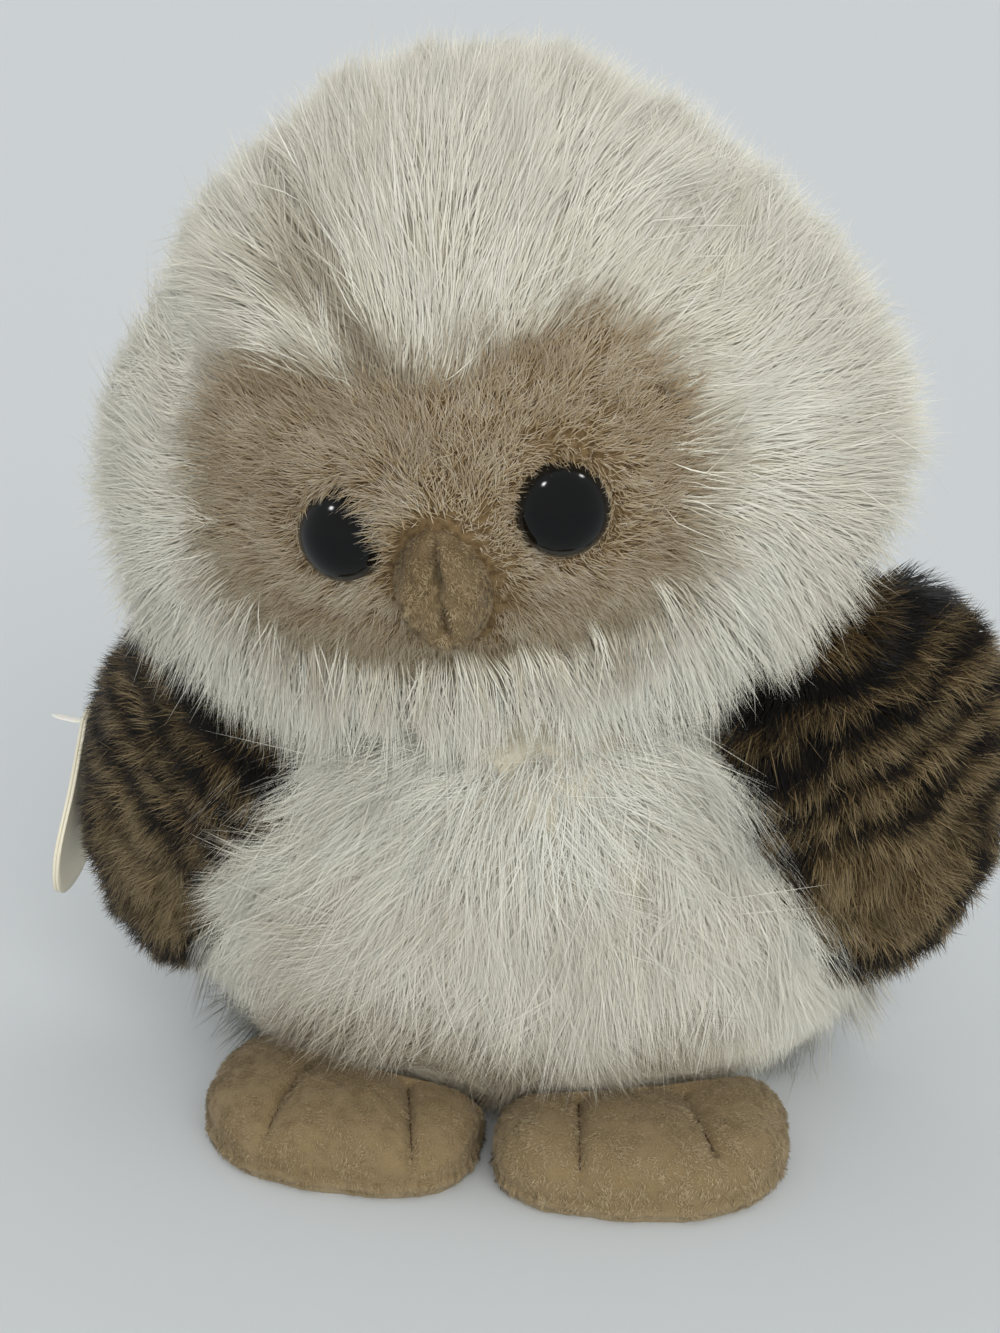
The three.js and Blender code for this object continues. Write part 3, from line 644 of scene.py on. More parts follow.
class Graph:
    """The nodes of one material, round its Principled BSDF."""

    def __init__(self, name: str) -> None:
        """Makes the material.

        Args:
            name: its name.
        """
        self.material = bpy.data.materials.new(name)
        self.material.use_nodes = True
        self.nodes = self.material.node_tree.nodes
        self.links = self.material.node_tree.links
        self.shader = self.nodes["Principled BSDF"]

    def add(self, kind: str, inputs: dict | None = None, **settings: object) -> bpy.types.Node:
        """Adds a node.

        Args:
            kind: the node's type without its ShaderNode prefix.
            inputs: sockets by name or number, each with a value or with an output to link.
            settings: the node's own properties.

        Returns:
            The node.
        """
        node = self.nodes.new("ShaderNode" + kind)
        for name, value in settings.items():
            setattr(node, name, value)
        self.feed(node, inputs or {})
        return node

    def feed(self, node: bpy.types.Node, inputs: dict) -> None:
        """Sets or links a node's sockets.

        Args:
            node: the node.
            inputs: sockets by name or number, each with a value or with an output to link.
        """
        for key, value in inputs.items():
            if isinstance(value, Socket):
                self.links.new(value, node.inputs[key])
            else:
                node.inputs[key].default_value = value

    def ramp(self, source: Socket, stops: Stops) -> Socket:
        """A colour ramp over a number.

        Args:
            source: the number's output.
            stops: the ramp's.

        Returns:
            The colour's output.
        """
        node = self.add("ValToRGB", {0: source})
        elements = node.color_ramp.elements
        for place, code in stops[2:]:
            elements.new(place).color = linear(code)
        for element, (place, code) in zip(sorted(elements, key=lambda e: e.position), sorted(stops)):
            element.position, element.color = place, linear(code)
        return node.outputs["Color"]

    def mix(self, share: object, a: object, b: object, blend: str = "MIX") -> Socket:
        """Two colours mixed by a share."""
        return self.add("Mix", {0: share, 6: a, 7: b}, data_type="RGBA", blend_type=blend).outputs[2]

    def noise(self, scale: float, detail: float = 3.0, stretch: Sequence[float] = (1, 1, 1)) -> Socket:
        """Noise on Object coordinates.

        Args:
            scale: length of its features in mm.
            detail: octaves.
            stretch: how many times finer it is along each axis.

        Returns:
            The number's output.
        """
        coordinates = self.add("TexCoord").outputs["Object"]
        placed = self.add("Mapping", {"Vector": coordinates, "Scale": tuple(stretch)}).outputs[0]
        inputs = {"Vector": placed, "Scale": 1 / (scale * MM), "Detail": detail}
        return self.add("TexNoise", inputs).outputs[0]

    def bump(self, height: Socket, depth: float, strength: float = 1.0) -> None:
        """A bump under the shader's normal, over what is there already.

        Args:
            height: a number's output, from 0 to 1.
            depth: of the bump in mm.
            strength: from 0 to 1.
        """
        node = self.add("Bump", {"Height": height, "Distance": depth * MM, "Strength": strength})
        linked = self.shader.inputs["Normal"].links
        if linked:
            self.links.new(linked[0].from_socket, node.inputs["Normal"])
        self.links.new(node.outputs[0], self.shader.inputs["Normal"])


@dataclass(frozen=True)
class PileFinish:
    """Modacrylic or polyester pile yarn, brushed and cut: soft, a little glossy along each fibre, with
    painted shade that darkens each strand towards its root, where light hardly reaches. The strand's own map
    gives its shade (u) and root to tip (v)."""

    name: str
    stops: Stops
    # Painted shade along the strand, from root (0) to tip (1), which multiplies its colour
    root: Stops
    roughness: float = 0.6
    sheen: float = 0.1
    specular: float = 0.2
    glow: float = 0.0  # share of light that passes through a fibre

    def make(self) -> bpy.types.Material:
        """Makes it.

        Returns:
            The material.
        """
        g = Graph(self.name)
        parts = g.add("SeparateXYZ", {0: g.add("UVMap", uv_map="OFBake").outputs[0]}).outputs
        colour = g.mix(1.0, g.ramp(parts[0], self.stops), g.ramp(parts[1], self.root), "MULTIPLY")
        g.feed(g.shader, {
            "Base Color": colour, "Roughness": self.roughness, "Specular IOR Level": self.specular,
            "Sheen Weight": self.sheen, "Sheen Roughness": 0.5, "Subsurface Weight": self.glow,
            "Subsurface Scale": 0.001, "Subsurface Radius": (1.0, 0.95, 0.85),
        })  # fmt: skip
        return g.material


@dataclass(frozen=True)
class BackingFinish:
    """Knitted backing with its dense underpile: matt and lumpy, paler tufts over darker gaps. Its colours sit
    darker than the pile's and darkest in the gaps, as painted shade under the strands. The knit's own loops,
    0.5 mm, are drawn 1.6 mm wide, since they only show as unevenness between the strands."""

    name: str
    stops: Stops
    tuft: float = 1.6

    def make(self) -> bpy.types.Material:
        """Makes it.

        Returns:
            The material.
        """
        g = Graph(self.name)
        # The noise that sinks the gaps also darkens them: painted shade
        tufts = g.noise(self.tuft, 4.0)
        colour = g.ramp(tufts, self.stops)
        g.feed(g.shader, {"Base Color": colour, "Roughness": 0.95, "Specular IOR Level": 0.1})
        g.bump(tufts, 0.5)
        return g.material


@dataclass(frozen=True)
class VelourFinish:
    """Short brushed polyester velour: matt with a pale sheen at grazing angles, nap laid in patches of 6 mm,
    and pills and lint of about 1 mm. Its fibres, 0.02 mm, are drawn 0.35 mm wide so that the nap shows."""

    name: str
    low: str
    mid: str
    high: str
    welt: float = 0.0  # mm above the floor, under which the seam's rubbed edge is paler

    def make(self) -> bpy.types.Material:
        """Makes it.

        Returns:
            The material.
        """
        g = Graph(self.name)
        nap = g.noise(0.35, 4.0)
        patches = g.ramp(g.noise(6.0, 3.0), ((0.35, self.low), (0.65, self.mid)))
        colour = g.mix(g.ramp(nap, ((0.42, "#000000"), (0.72, "#9a9a9a"))), patches, linear(self.high))
        if self.welt:
            place = g.add("TexCoord", {}).outputs["Object"]
            height = g.add("SeparateXYZ", {0: place}).outputs[2]
            low = g.add("MapRange", {0: height, 1: 0.0, 2: self.welt * MM, 3: 0.7, 4: 0.0}).outputs[0]
            colour = g.mix(low, colour, linear(self.high))
        g.feed(g.shader, {"Base Color": colour, "Roughness": 0.9, "Specular IOR Level": 0.15,
                          "Sheen Weight": 0.12, "Sheen Roughness": 0.45})  # fmt: skip
        g.bump(nap, 0.35, 0.9)
        g.bump(g.noise(1.4, 2.0), 0.2, 0.5)
        return g.material


@dataclass(frozen=True)
class PlasticFinish:
    """Moulded plastic: even in colour, with faint flow marks and fine scuffs that break its gloss."""

    name: str
    colour: str
    other: str
    roughness: float
    scuff: float = 0.1  # how much rougher the scuffs are
    subsurface: float = 0.0
    specular: float = 0.5

    def make(self) -> bpy.types.Material:
        """Makes it.

        Returns:
            The material.
        """
        g = Graph(self.name)
        flow = g.noise(5.0, 2.0)
        fine = g.ramp(g.noise(0.6, 5.0), ((0.45, "#000000"), (0.8, "#ffffff")))
        rough = g.add("MapRange", {0: fine, 3: self.roughness, 4: self.roughness + self.scuff}).outputs[0]
        colour = g.ramp(flow, ((0.35, self.colour), (0.75, self.other)))
        g.feed(g.shader, {
            "Base Color": colour, "Roughness": rough, "IOR": 1.49, "Specular IOR Level": self.specular,
            "Subsurface Weight": self.subsurface, "Subsurface Scale": 0.001,
        })  # fmt: skip
        g.bump(flow, 0.02, 0.3)
        return g.material


@dataclass(frozen=True)
class CardFinish:
    """Coated card, cut with a die: satin, cream, with the fibre of the paper showing as faint mottle."""

    name: str = "Coated card, die cut"
    colour: str = "#efe7cf"
    other: str = "#e2d7b6"

    def make(self) -> bpy.types.Material:
        """Makes it.

        Returns:
            The material.
        """
        g = Graph(self.name)
        fibre = g.noise(0.8, 5.0)
        stain = g.noise(12.0, 2.0)
        share = g.ramp(stain, ((0.45, "#000000"), (0.8, "#b0b0b0")))
        colour = g.mix(share, linear(self.colour), linear(self.other))
        g.feed(g.shader, {"Base Color": colour, "Roughness": 0.42, "Specular IOR Level": 0.45})
        g.bump(fibre, 0.04, 0.5)
        return g.material


@dataclass(frozen=True)
class YarnFinish:
    """Twisted polyester sewing thread, or loose fibre filling: matt, with a twist that catches the light."""

    name: str
    colour: str
    other: str
    twist: float

    def make(self) -> bpy.types.Material:
        """Makes it.

        Returns:
            The material.
        """
        g = Graph(self.name)
        fibres = g.noise(self.twist, 4.0, (1, 1, 2.5))
        colour = g.ramp(fibres, ((0.3, self.colour), (0.7, self.other)))
        g.feed(g.shader, {"Base Color": colour, "Roughness": 0.85, "Specular IOR Level": 0.2})
        g.bump(fibres, self.twist * 0.6)
        return g.material


def dressed(piece: Piece, material: bpy.types.Material, body: str,
            nodes: Sequence[str] = ()) -> Piece:  # fmt: skip
    """Gives a piece its material and its place in the record.

    Args:
        piece: the piece.
        material: its one material.
        body: the body that it rides on.
        nodes: the CAD nodes that it stands for.

    Returns:
        The piece.
    """
    piece.data.materials.clear()
    piece.data.materials.append(material)
    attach(piece, body)
    if nodes:
        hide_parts(*nodes)
    log.info("%s: %d faces on %s", piece.name, len(piece.data.polygons), body)
    return piece


@dataclass(frozen=True)
class Pile:
    """Strands in tufts. Each strand starts at R on the backing, with the outward normal N and the combing C:
    P(t) = R + L (t (sin r N + cos r C) + t^2 (b C - f N + w N x C) + t^2 g down). It draws towards the middle
    strand of its lock by pull t^1.3, and the lock towards the middle of its tuft. Long strands hang from
    undersides alone, so g grows as N turns down. The chance in w bends whole locks aside."""

    length: float  # mm
    thick: float  # mm across at the widest
    rise: float = 40.0  # degrees off the backing
    fold: float = 0.2  # f: how far the tips lie down
    bend: float = 0.1  # b
    sag: float = 0.05  # g
    tuft: float = 5.0  # mm, spread of the locks of a tuft
    lock: float = 1.3  # mm, spread of the strands of a lock
    locks: int = 6  # in a tuft
    strands: int = 8  # in a lock
    pull: float = 0.55
    gather: float = 0.35  # of locks to their tuft
    stray: float = 7.0  # degrees of chance in the rise of a lock
    swing: float = 1.6  # times that in its way
    fuzz: float = 0.25  # share of that chance in the strands of a lock
    flying: float = 0.07  # share of the strands that fly away from their lock
    wild: float = 1.8  # times that chance in these, and in tufts
    lowest: float = 8.0  # degrees off the backing
    over: float = 20.0  # degrees over the rise, at most
    uneven: float = 0.13  # chance in the length
    give: float = 0.3  # share of its length by which a strand may be moved
    lump: float = 11.0  # mm, size of the relief
    floor: float = 0.4  # mm, how low a strand hangs
    wave: float = 0.12  # w
    mottle: float = 0.04  # chance in the shade of a lock, and of a strand
    round: float = 0.14  # how much of each strand's own roundness its shading shows
    relief: float = 0.0  # how far the shading's normal wanders from lock to lock
    under: float = 0.7  # how much of a downward slope the shading of a hanging strand keeps
    levels: tuple[float, ...] = (0.0, 0.42, 1.0)
    taper: tuple[float, ...] = (1.0,)  # at the levels between root and tip

    def curves(self, form: Form, uv: Array, comb: Comb, reach: Field, rng: np.random.Generator,
               loose: float | Array) -> Array:  # fmt: skip
        """The strands' middle lines.

        Args:
            form: the backing's surface.
            uv: (n, 2) parameters of the roots.
            comb: the pile's way at places with normals.
            reach: share of the full length at places.
            rng: the source of chance.
            loose: share of the pile's chance.

        Returns:
            (n, levels, 3) in mm.
        """
        roots, normals = form.at(uv[:, 0], uv[:, 1]), form.normal(uv[:, 0], uv[:, 1])
        chance = rng.normal(size=(4, len(uv)))
        way = turned(comb(roots, normals), normals, np.radians(chance[0] * self.stray * loose * self.swing))
        rise = np.clip(self.rise + chance[1] * self.stray * loose, self.lowest, self.rise + self.over)
        rise = np.radians(rise)[:, None]
        length = self.length * reach(roots) * np.clip(1 + self.uneven * chance[2], 0.6, 1.3)
        t = np.array(self.levels)[None, :, None]
        first = unit(np.sin(rise) * normals + np.cos(rise) * way)[:, None]
        hang = self.sag * smooth(-normals[:, 2], -0.1, 0.8)[:, None]
        aside = (self.wave * loose * chance[3])[:, None] * np.cross(normals, way)
        later = (self.bend * way - self.fold * normals + aside + hang * DOWN)[:, None]
        return roots[:, None] + length[:, None, None] * (t * first + t * t * later)

    def grow(self, name: str, form: Form, count: int, keep: Field, comb: Comb, tint: Field, seed: int,
             reach: Field = lambda p: np.ones(len(p)),
             clear: Callable[[Array], Array] = lambda p: p) -> Piece:  # fmt: skip
        """Grows the pile on a part of a form.

        Args:
            name: the piece's name.
            form: the backing's surface.
            count: how many strands there would be on the whole form.
            keep: true at roots that belong to this piece.
            comb: the pile's way.
            tint: place on the finish's colours, 0 to 1, at the roots.
            seed: of the chance.
            reach: share of the full length.
            clear: moves points out of the neighbours. A strand that it moves far, or gives as not a number,
                is left out.

        Returns:
            The object: closed three-sided blades with a map named OFBake.
        """
        rng = np.random.default_rng(seed)
        tufts = form.nudge(form.scatter(count // (self.locks * self.strands), rng), self.tuft / 2, rng)
        locks = form.nudge(np.repeat(tufts, self.locks, 0), self.tuft, rng)
        hairs = form.nudge(np.repeat(locks, self.strands, 0), self.lock, rng)
        t = (np.array(self.levels) ** 1.3)[None, :, None]
        middle = self.curves(form, tufts, comb, reach, rng, self.wild)
        lines = self.curves(form, locks, comb, reach, rng, 1.0)
        lines = lines + (np.repeat(middle, self.locks, 0) - lines) * self.gather * t
        loose = np.where(rng.random(len(hairs)) < self.flying, self.wild, self.fuzz)
        own = self.curves(form, hairs, comb, reach, rng, loose)
        own = own + (np.repeat(lines, self.strands, 0) - own) * self.pull * t
        kept = keep(own[:, 0])
        lumps = np.stack([ripple(own[:, 0], self.lump, seed + k) for k in range(3)], -1)
        lumps = lumps + 0.5 * np.repeat(rng.normal(size=(len(locks), 3)), self.strands, 0)
        facing = form.normal(hairs[:, 0], hairs[:, 1])
        lumps = lumps * (1 - smooth(-facing[:, 2:], -0.3, 0.3))
        facing = unit(facing + self.relief * lumps)[kept]
        facing = unit(facing * np.where(facing[:, 2:] < 0, [1, 1, self.under], 1.0))
        shade = tint(own[:, 0]) + self.mottle * np.repeat(rng.normal(size=len(locks)), self.strands)
        shade = shade + self.mottle * rng.normal(size=len(shade))
        own, shade = own[kept], np.clip(shade[kept], 0.01, 0.99)
        moved = clear(own)
        slight = np.linalg.norm(moved - own, axis=-1).max(axis=1) < self.length * self.give
        own, shade, facing = moved[slight], shade[slight], facing[slight]
        own[..., 2] = np.maximum(own[..., 2], self.floor)
        wide = self.thick * 1
        wide = wide * np.clip(1 + 0.2 * rng.normal(size=len(own)), 0.6, 1.5)
        return self.blades(name, own, wide, shade, facing, rng)

    def blades(self, name: str, lines: Array, wide: Array, shade: Array, facing: Array,
               rng: np.random.Generator) -> Piece:  # fmt: skip
        """Closed three-sided blades along middle lines, pointed at both ends. Each is shaded mostly as the
        form under it, since light goes through real pile and evens it out.

        Args:
            name: the piece's name.
            lines: (n, levels, 3) in mm.
            wide: (n,) across at the widest, in mm.
            shade: (n,) from 0 to 1.
            facing: (n, 3) the form's normals.
            rng: the source of chance.

        Returns:
            The object.
        """
        count, levels = lines.shape[:2]
        way = unit(np.gradient(lines, axis=1))[:, 1:-1]
        other = unit(rng.normal(size=(count, 1, 3)))
        first = tangent(np.broadcast_to(other, way.shape), way)
        second = np.cross(way, first)
        a = TURN * np.arange(3) / 3
        ring = np.cos(a)[:, None] * first[:, :, None] + np.sin(a)[:, None] * second[:, :, None]
        radii = wide[:, None] / 2 * np.array(self.taper)[None]
        body = (lines[:, 1:-1, None] + ring * radii[:, :, None, None]).reshape(count, -1, 3)
        points = np.concatenate([lines[:, :1], body, lines[:, -1:]], 1)
        each = points.shape[1]
        shown = unit(facing[:, None] + self.round * ring.reshape(count, -1, 3))
        shown = np.concatenate([facing[:, None], shown, facing[:, None]], 1)

        k = np.arange(3)
        step = 1 + np.arange(levels - 3)[:, None] * 3
        quads = np.stack([step + k, step + (k + 1) % 3, step + (k + 1) % 3 + 3, step + k + 3], -1)
        quads = quads.reshape(-1, 4)
        last = 1 + (levels - 3) * 3
        foot = np.stack([np.zeros(3, int), 1 + (k + 1) % 3, 1 + k], -1)
        tips = np.stack([last + k, last + (k + 1) % 3, np.full(3, each - 1)], -1)
        ends = np.concatenate([foot, tips])
        start = (np.arange(count) * each)[:, None, None]
        faces = [(start + quads).reshape(-1, 4), (start + ends).reshape(-1, 3)]
        piece = put_mesh(name, points.reshape(-1, 3), faces, facing=shown.reshape(-1, 3))

        # Two texels to each side of the strand's own shade give every face some width in the map
        edge = np.array([-0.004, 0.0, 0.004])
        rows = np.repeat(0.02 + 0.96 * np.array(self.levels[1:-1]), 3)
        own = np.stack([np.concatenate([[0.0], np.tile(edge, levels - 2), [0.0]]),
                        np.concatenate([[0.02], rows, [0.98]])], -1)  # fmt: skip
        maps = [np.broadcast_to(own[q], (count, *q.shape, 2)).copy() for q in (quads, ends) if len(q)]
        for block in maps:
            block[..., 0] += shade[:, None, None]
        layer = piece.data.uv_layers.new(name="OFBake")
        layer.data.foreach_set("uv", np.concatenate([m.reshape(-1) for m in maps]).astype(np.float32))
        return piece


HEAD = Egg(83.0, 71.0, 79.0, 54.0, Place((-5.0, 0.0, 150.0), lean=-9.0))
TRUNK = Trunk()
TAG_PLACE = Place((-102.662, 15.823, 73.370), lean=10.0)  # the rim of the right wing, X through the card


@dataclass(frozen=True)
class Skin(Form):
    """A finished surface as a form, so that a nap can grow on it."""

    surface: Callable[[Array, Array], Array]

    def at(self, u: Array, v: Array) -> Array:
        """Places in the owl's frame, in mm."""
        return self.surface(u, v)


class Finishes:
    """All the materials, made once. Each is named for what the real one is."""

    def __init__(self) -> None:
        """Makes them."""
        # Painted shade: each strand darker towards its root, where light hardly reaches
        root_shade_white = ((0.0, "#f6f0e2"), (0.4, "#ffffff"))
        root_shade_tan = ((0.0, "#75634b"), (0.45, "#c9bda8"), (0.9, "#ffffff"))
        root_shade_nap = ((0.0, "#d8d2c8"), (0.6, "#ffffff"))
        self.cream = PileFinish(
            "Modacrylic long pile, cream",
            ((0.0, "#8f7f66"), (0.25, "#c6bba4"), (0.5, "#f3ecd6"), (0.7, "#fdf9e6"), (1.0, "#fffff2")),
            root_shade_white, glow=0.2,
        ).make()  # fmt: skip
        self.tan = PileFinish(
            "Modacrylic short pile, tan",
            ((0.0, "#937b57"), (0.35, "#bea680"), (0.65, "#decba8"), (1.0, "#fff4dc")),
            root_shade_tan, glow=0.4,
        ).make()  # fmt: skip
        self.brown = PileFinish(
            "Modacrylic pile, printed brown",
            ((0.0, "#080503"), (0.3, "#1f170d"), (0.6, "#544529"), (1.0, "#a08e6c")),
            root_shade_tan,
        ).make()  # fmt: skip
        self.fuzz = PileFinish(
            "Velour nap, tan", ((0.0, "#836f50"), (0.5, "#a18c69"), (1.0, "#bfac89")), root_shade_nap, sheen=0.03
        ).make()
        # Darker than the piles that grow over them: painted shade under the strands
        self.cream_base, self.tan_base, self.brown_base = (
            BackingFinish("Knitted backing, " + word, stops).make()
            for word, stops in (
                ("cream", ((0.3, "#cdc3aa"), (0.65, "#e0d9c4"))),
                ("tan", ((0.35, "#5c4a33"), (0.6, "#806b4c"))),
                ("brown", ((0.35, "#120e0a"), (0.6, "#2e251b"))),
            )
        )
        # Darker than the feet's velour: painted shade on the beak, which sits sunk in the face's pile
        self.velour = VelourFinish("Polyester velour, tan", "#665439", "#7a684c", "#9a896b").make()
        self.foot_velour = VelourFinish(
            "Polyester velour with a pale welt", "#84714f", "#8b7757", "#ab9a7b", welt=4.0
        ).make()
        # Less bright in its reflections than new polycarbonate, since fine scuffs have dulled it
        self.eye = PlasticFinish(
            "Polycarbonate, moulded black", "#020202", "#040404", 0.1, 0.03, specular=0.25
        ).make()
        self.washer = PlasticFinish("Polypropylene, natural", "#e6e6df", "#d8d8d0", 0.35).make()
        self.nylon = PlasticFinish("Nylon, moulded clear", "#f2f1ea", "#e8e6dc", 0.3, subsurface=0.4).make()
        self.card = CardFinish().make()
        self.thread = YarnFinish("Polyester thread, brown", "#3c2d20", "#6a5440", 0.3).make()
        self.filling = YarnFinish("Polyester fibre filling", "#dedcd5", "#f6f5f0", 2.5).make()


NAP = Pile(1.3, 0.16, rise=48, fold=0.2, bend=0.1, sag=0.0, tuft=2.5, lock=0.6, pull=0.3, gather=0.1,
           stray=20, fuzz=0.8, wave=0.4, mottle=0.1)  # fmt: skip


def parted(way: Array, points: Array, whorl: Array, wide: float) -> Array:
    """A comb that fades out within a whorl, where the pile stands up: way (1 - 0.9 exp(-(d / wide)^2))."""
    near = np.exp(-((np.linalg.norm(points - whorl, axis=1) / wide) ** 2))
    return way * (1 - 0.9 * near)[:, None]


def downwards(points: Array, normals: Array) -> Array:
    """A nap that was brushed down, and is uneven."""
    way = tangent(np.broadcast_to([0.1, -0.4, -0.9], points.shape), normals)
    return turned(way, normals, 1.2 * ripple(points, 7.0, 43))


@dataclass
class Head:
    """The head's cover in three long-piled panels, the short-piled face, eyes, beak and filling."""

    finishes: Finishes
    nodes: dict[str, Piece]
    form: Egg = HEAD
    root_depth: float = 5.5  # the strands' roots below the dense surface of the pile
    dense: float = 3.5  # where the underpile closes, below that surface
    cover: float = 15.0
    neck: float = 104.0  # height of the neck's seam
    neck_hole: float = 20.0
    crown_front: float = 15.0  # half width of the crown panel at the brow
    crown_top: float = 30.0  # and at the top
    brow: float = 30.0
    mask_width: float = 50.0
    mask_height: float = 35.0
    mask_drop: float = 31.0
    face_inset: float = 7.0
    face_forward: float = 3.0
    eye_radius: float = 9.0
    eye_apart: float = 44.0
    eyes_aside: float = 2.5
    eye_height: float = 0.5
    eye_splay: float = 27.0
    eye_sink: float = 3.5
    eye_dome: float = 7.5
    eye_rim: float = 1.2
    eye_faces: int = 56  # round it
    shank: float = 2.4
    shank_length: float = 14.0
    beak_aside: float = -1.0
    beak_drop: float = 11.5
    beak_sink: float = 3.5
    beak_width: float = 8.6
    beak_height: float = 12.0
    beak_thick: float = 8.6
    beak_back: float = 3.0
    corner_sink: float = 5.0  # how much deeper the roots are where the pile is worn flat
    crown_strands: int = 150000  # if they covered the whole form
    side_strands: int = 122000
    nape_strands: int = 86000
    face_strands: int = 320000
    beak_strands: int = 9000
    mask_shares: tuple[tuple[float, float], ...] = (
        (0.0, 0.76), (0.32, 0.84), (0.64, 1.0), (0.9, 0.7), (1.0, 0.24),
        (0.96, -0.26), (0.78, -0.68), (0.44, -0.94), (0.0, -1.0),
    )  # fmt: skip

    def mask_share(self, own: Array) -> Array:
        """How far across the mask a place is, measured from its middle.

        Args:
            own: (..., 3) in the head's frame.

        Returns:
            1 on the mask's outline, and 9 on the back of the head.
        """
        ring = mirrored(self.mask_shares)
        high, low = [self.mask_width, self.mask_height], [self.mask_width, self.mask_drop]
        ring = ring * np.where(ring[:, 1:] > 0, high, low)
        curve = through(ring, np.linspace(0, 1, 241)[:-1], closed=True)
        return np.where(own[..., 1] < 0, share_of(own[..., 0], own[..., 2], curve), 9.0)

    def crown_width(self, z: Array) -> Array:
        """Half width of the crown panel at heights in the head's frame."""
        slope = (self.crown_top - self.crown_front) / (self.form.rise - self.brow)
        return self.crown_front + np.maximum(z - self.brow, 0) * slope

    def panel(self, own: Array, edge: float = 1.0) -> Array:
        """Which panel a place belongs to.

        Args:
            own: (..., 3) in the head's frame.
            edge: where the face ends, as a share of the mask's outline.

        Returns:
            0 face, 1 crown, 2 left side, 3 right side.
        """
        x, y, z = own[..., 0], own[..., 1], own[..., 2]
        crown = (np.abs(x) < self.crown_width(z)) & ((z > 0) | (y > 0))
        side = np.where(crown, 1, np.where(x > 0, 2, 3))
        return np.where(self.mask_share(own) < edge, 0, side)

    def parting(self, points: Array) -> Array:
        """Distance in mm from the parting at the crown's right seam, over 0 on the crown."""
        own = self.form.place.into(points)
        return own[:, 0] + self.crown_width(own[:, 2]) - 2 - 0.6 * np.clip(38 - own[:, 2], 0, 16)

    def at_parting(self, points: Array) -> Array:
        """1 on the open front part of the parting, fading within 5 mm of it and towards the top.

        Args:
            points: (n, 3) in mm.

        Returns:
            (n,).
        """
        own = self.form.place.into(points)
        along = smooth(own[:, 2], 10, 24) * (1 - smooth(own[:, 2], 58, 76)) * (own[:, 1] < 10)
        return np.exp(-((self.parting(points) / 4.0) ** 2)) * along

    def corner(self, points: Array) -> Array:
        """1 on the upper sides of the head, where the pile is worn flat."""
        own = self.form.place.into(points)
        return smooth(own[..., 2], -5, 50) * smooth(np.abs(own[..., 0]), 20, 55)

    def roots(self, u: Array, v: Array) -> Array:
        """Where the long strands grow.

        Args:
            u: round the head.
            v: from the bottom to the top.

        Returns:
            (..., 3) in mm.
        """
        form = self.form.inset(self.root_depth)
        points = form.at(u, v)
        return points - form.normal(u, v) * (self.corner_sink * self.corner(points))[..., None]

    def comb(self, points: Array, normals: Array) -> Array:
        """Away from a whorl on the bridge of the face, down over the back, and uneven under the chin.

        Args:
            points: (n, 3) in mm.
            normals: (n, 3).

        Returns:
            (n, 3): unit vectors or shorter ones, where the pile stands up more.
        """
        own = self.form.place.into(points)
        whorl = self.form.place.axes @ np.array([0.0, -self.form.depth, 5.0])
        away = tangent(np.broadcast_to(-whorl, points.shape), normals)
        down = tangent(np.broadcast_to(DOWN, points.shape), normals)
        back = smooth(own[:, 1] / self.form.depth, -0.1, 0.75)[:, None]
        way = tangent(away * (1 - back) + down * (0.06 + back), normals)
        way = turned(way, normals, 0.35 * ripple(points, 26.0, 3))
        way = parted(way, points, whorl + np.array(self.form.place.origin), 8.0)
        off = self.parting(points)
        apart = np.where(off > 0, -0.2 * np.exp(-np.abs(off) / 12), 0.35 * np.exp(-np.abs(off) / 12))
        way = turned(way, normals, apart * smooth(own[:, 2], 10, 24) * (own[:, 1] < 10))
        chin = smooth(-own[:, 2], 20, 36) * (own[:, 1] < 20)
        way = turned(way, normals, 0.8 * ripple(points, 9.0, 27) * chin)
        return way * (1 - 0.45 * chin + 0.8 * self.corner(points))[:, None]

    def comb_face(self, points: Array, normals: Array) -> Array:
        """Away from the beak, and up against the eyes.

        Args:
            points: (n, 3) in mm.
            normals: (n, 3).

        Returns:
            (n, 3).
        """
        middle = self.form.place.out(np.array([[self.beak_aside, -self.form.depth, -self.beak_drop]]))
        way = turned(tangent(points - middle, normals), normals, 0.5 * ripple(points, 9.0, 5))
        for middle, _ in (self.eye_frame(side) for side in Side):
            apart = np.linalg.norm(points - middle, axis=1) - self.eye_radius
            near = np.exp(-((apart / 3.0) ** 2))[:, None]
            way = way * (1 - near) + 0.45 * near * tangent(middle - points, normals)
        return way

    def face_form(self) -> Egg:
        """The face's dense surface.

        Returns:
            The head's form, inset and moved forwards.
        """
        shift = self.form.place.axes @ np.array([0.0, -self.face_forward, 0.0])
        place = replace(self.form.place, origin=tuple(np.array(self.form.place.origin) + shift))
        return replace(self.form.inset(self.face_inset), place=place)

    def face_depth(self, x: float, z: float) -> float:
        """Where the face's dense surface is, in the head's frame.

        Args:
            x: across, in mm.
            z: up, in mm.

        Returns:
            y in mm.
        """
        f = self.face_form()
        height = f.rise if z > 0 else f.drop
        return -self.face_forward - f.depth * math.sqrt(1 - (x / f.width) ** 2 - (z / height) ** 2)

    def eye_frame(self, side: Side) -> tuple[Array, Array]:
        """Where an eye sits.

        Args:
            side: which eye.

        Returns:
            The middle of its back in mm, and its axes as columns: across, up and outwards.
        """
        x = self.eyes_aside + side.value * self.eye_apart / 2
        a = math.radians(self.eye_splay)
        out = np.array([side.value * math.sin(a), -math.cos(a), 0.0])
        middle = np.array([x, self.face_depth(x, self.eye_height), self.eye_height]) - out * self.eye_sink
        up = np.array([0.0, 0.0, 1.0])
        own = np.stack([np.cross(up, out), up, out], 1)
        return self.form.place.out(middle[None])[0], self.form.place.axes @ own

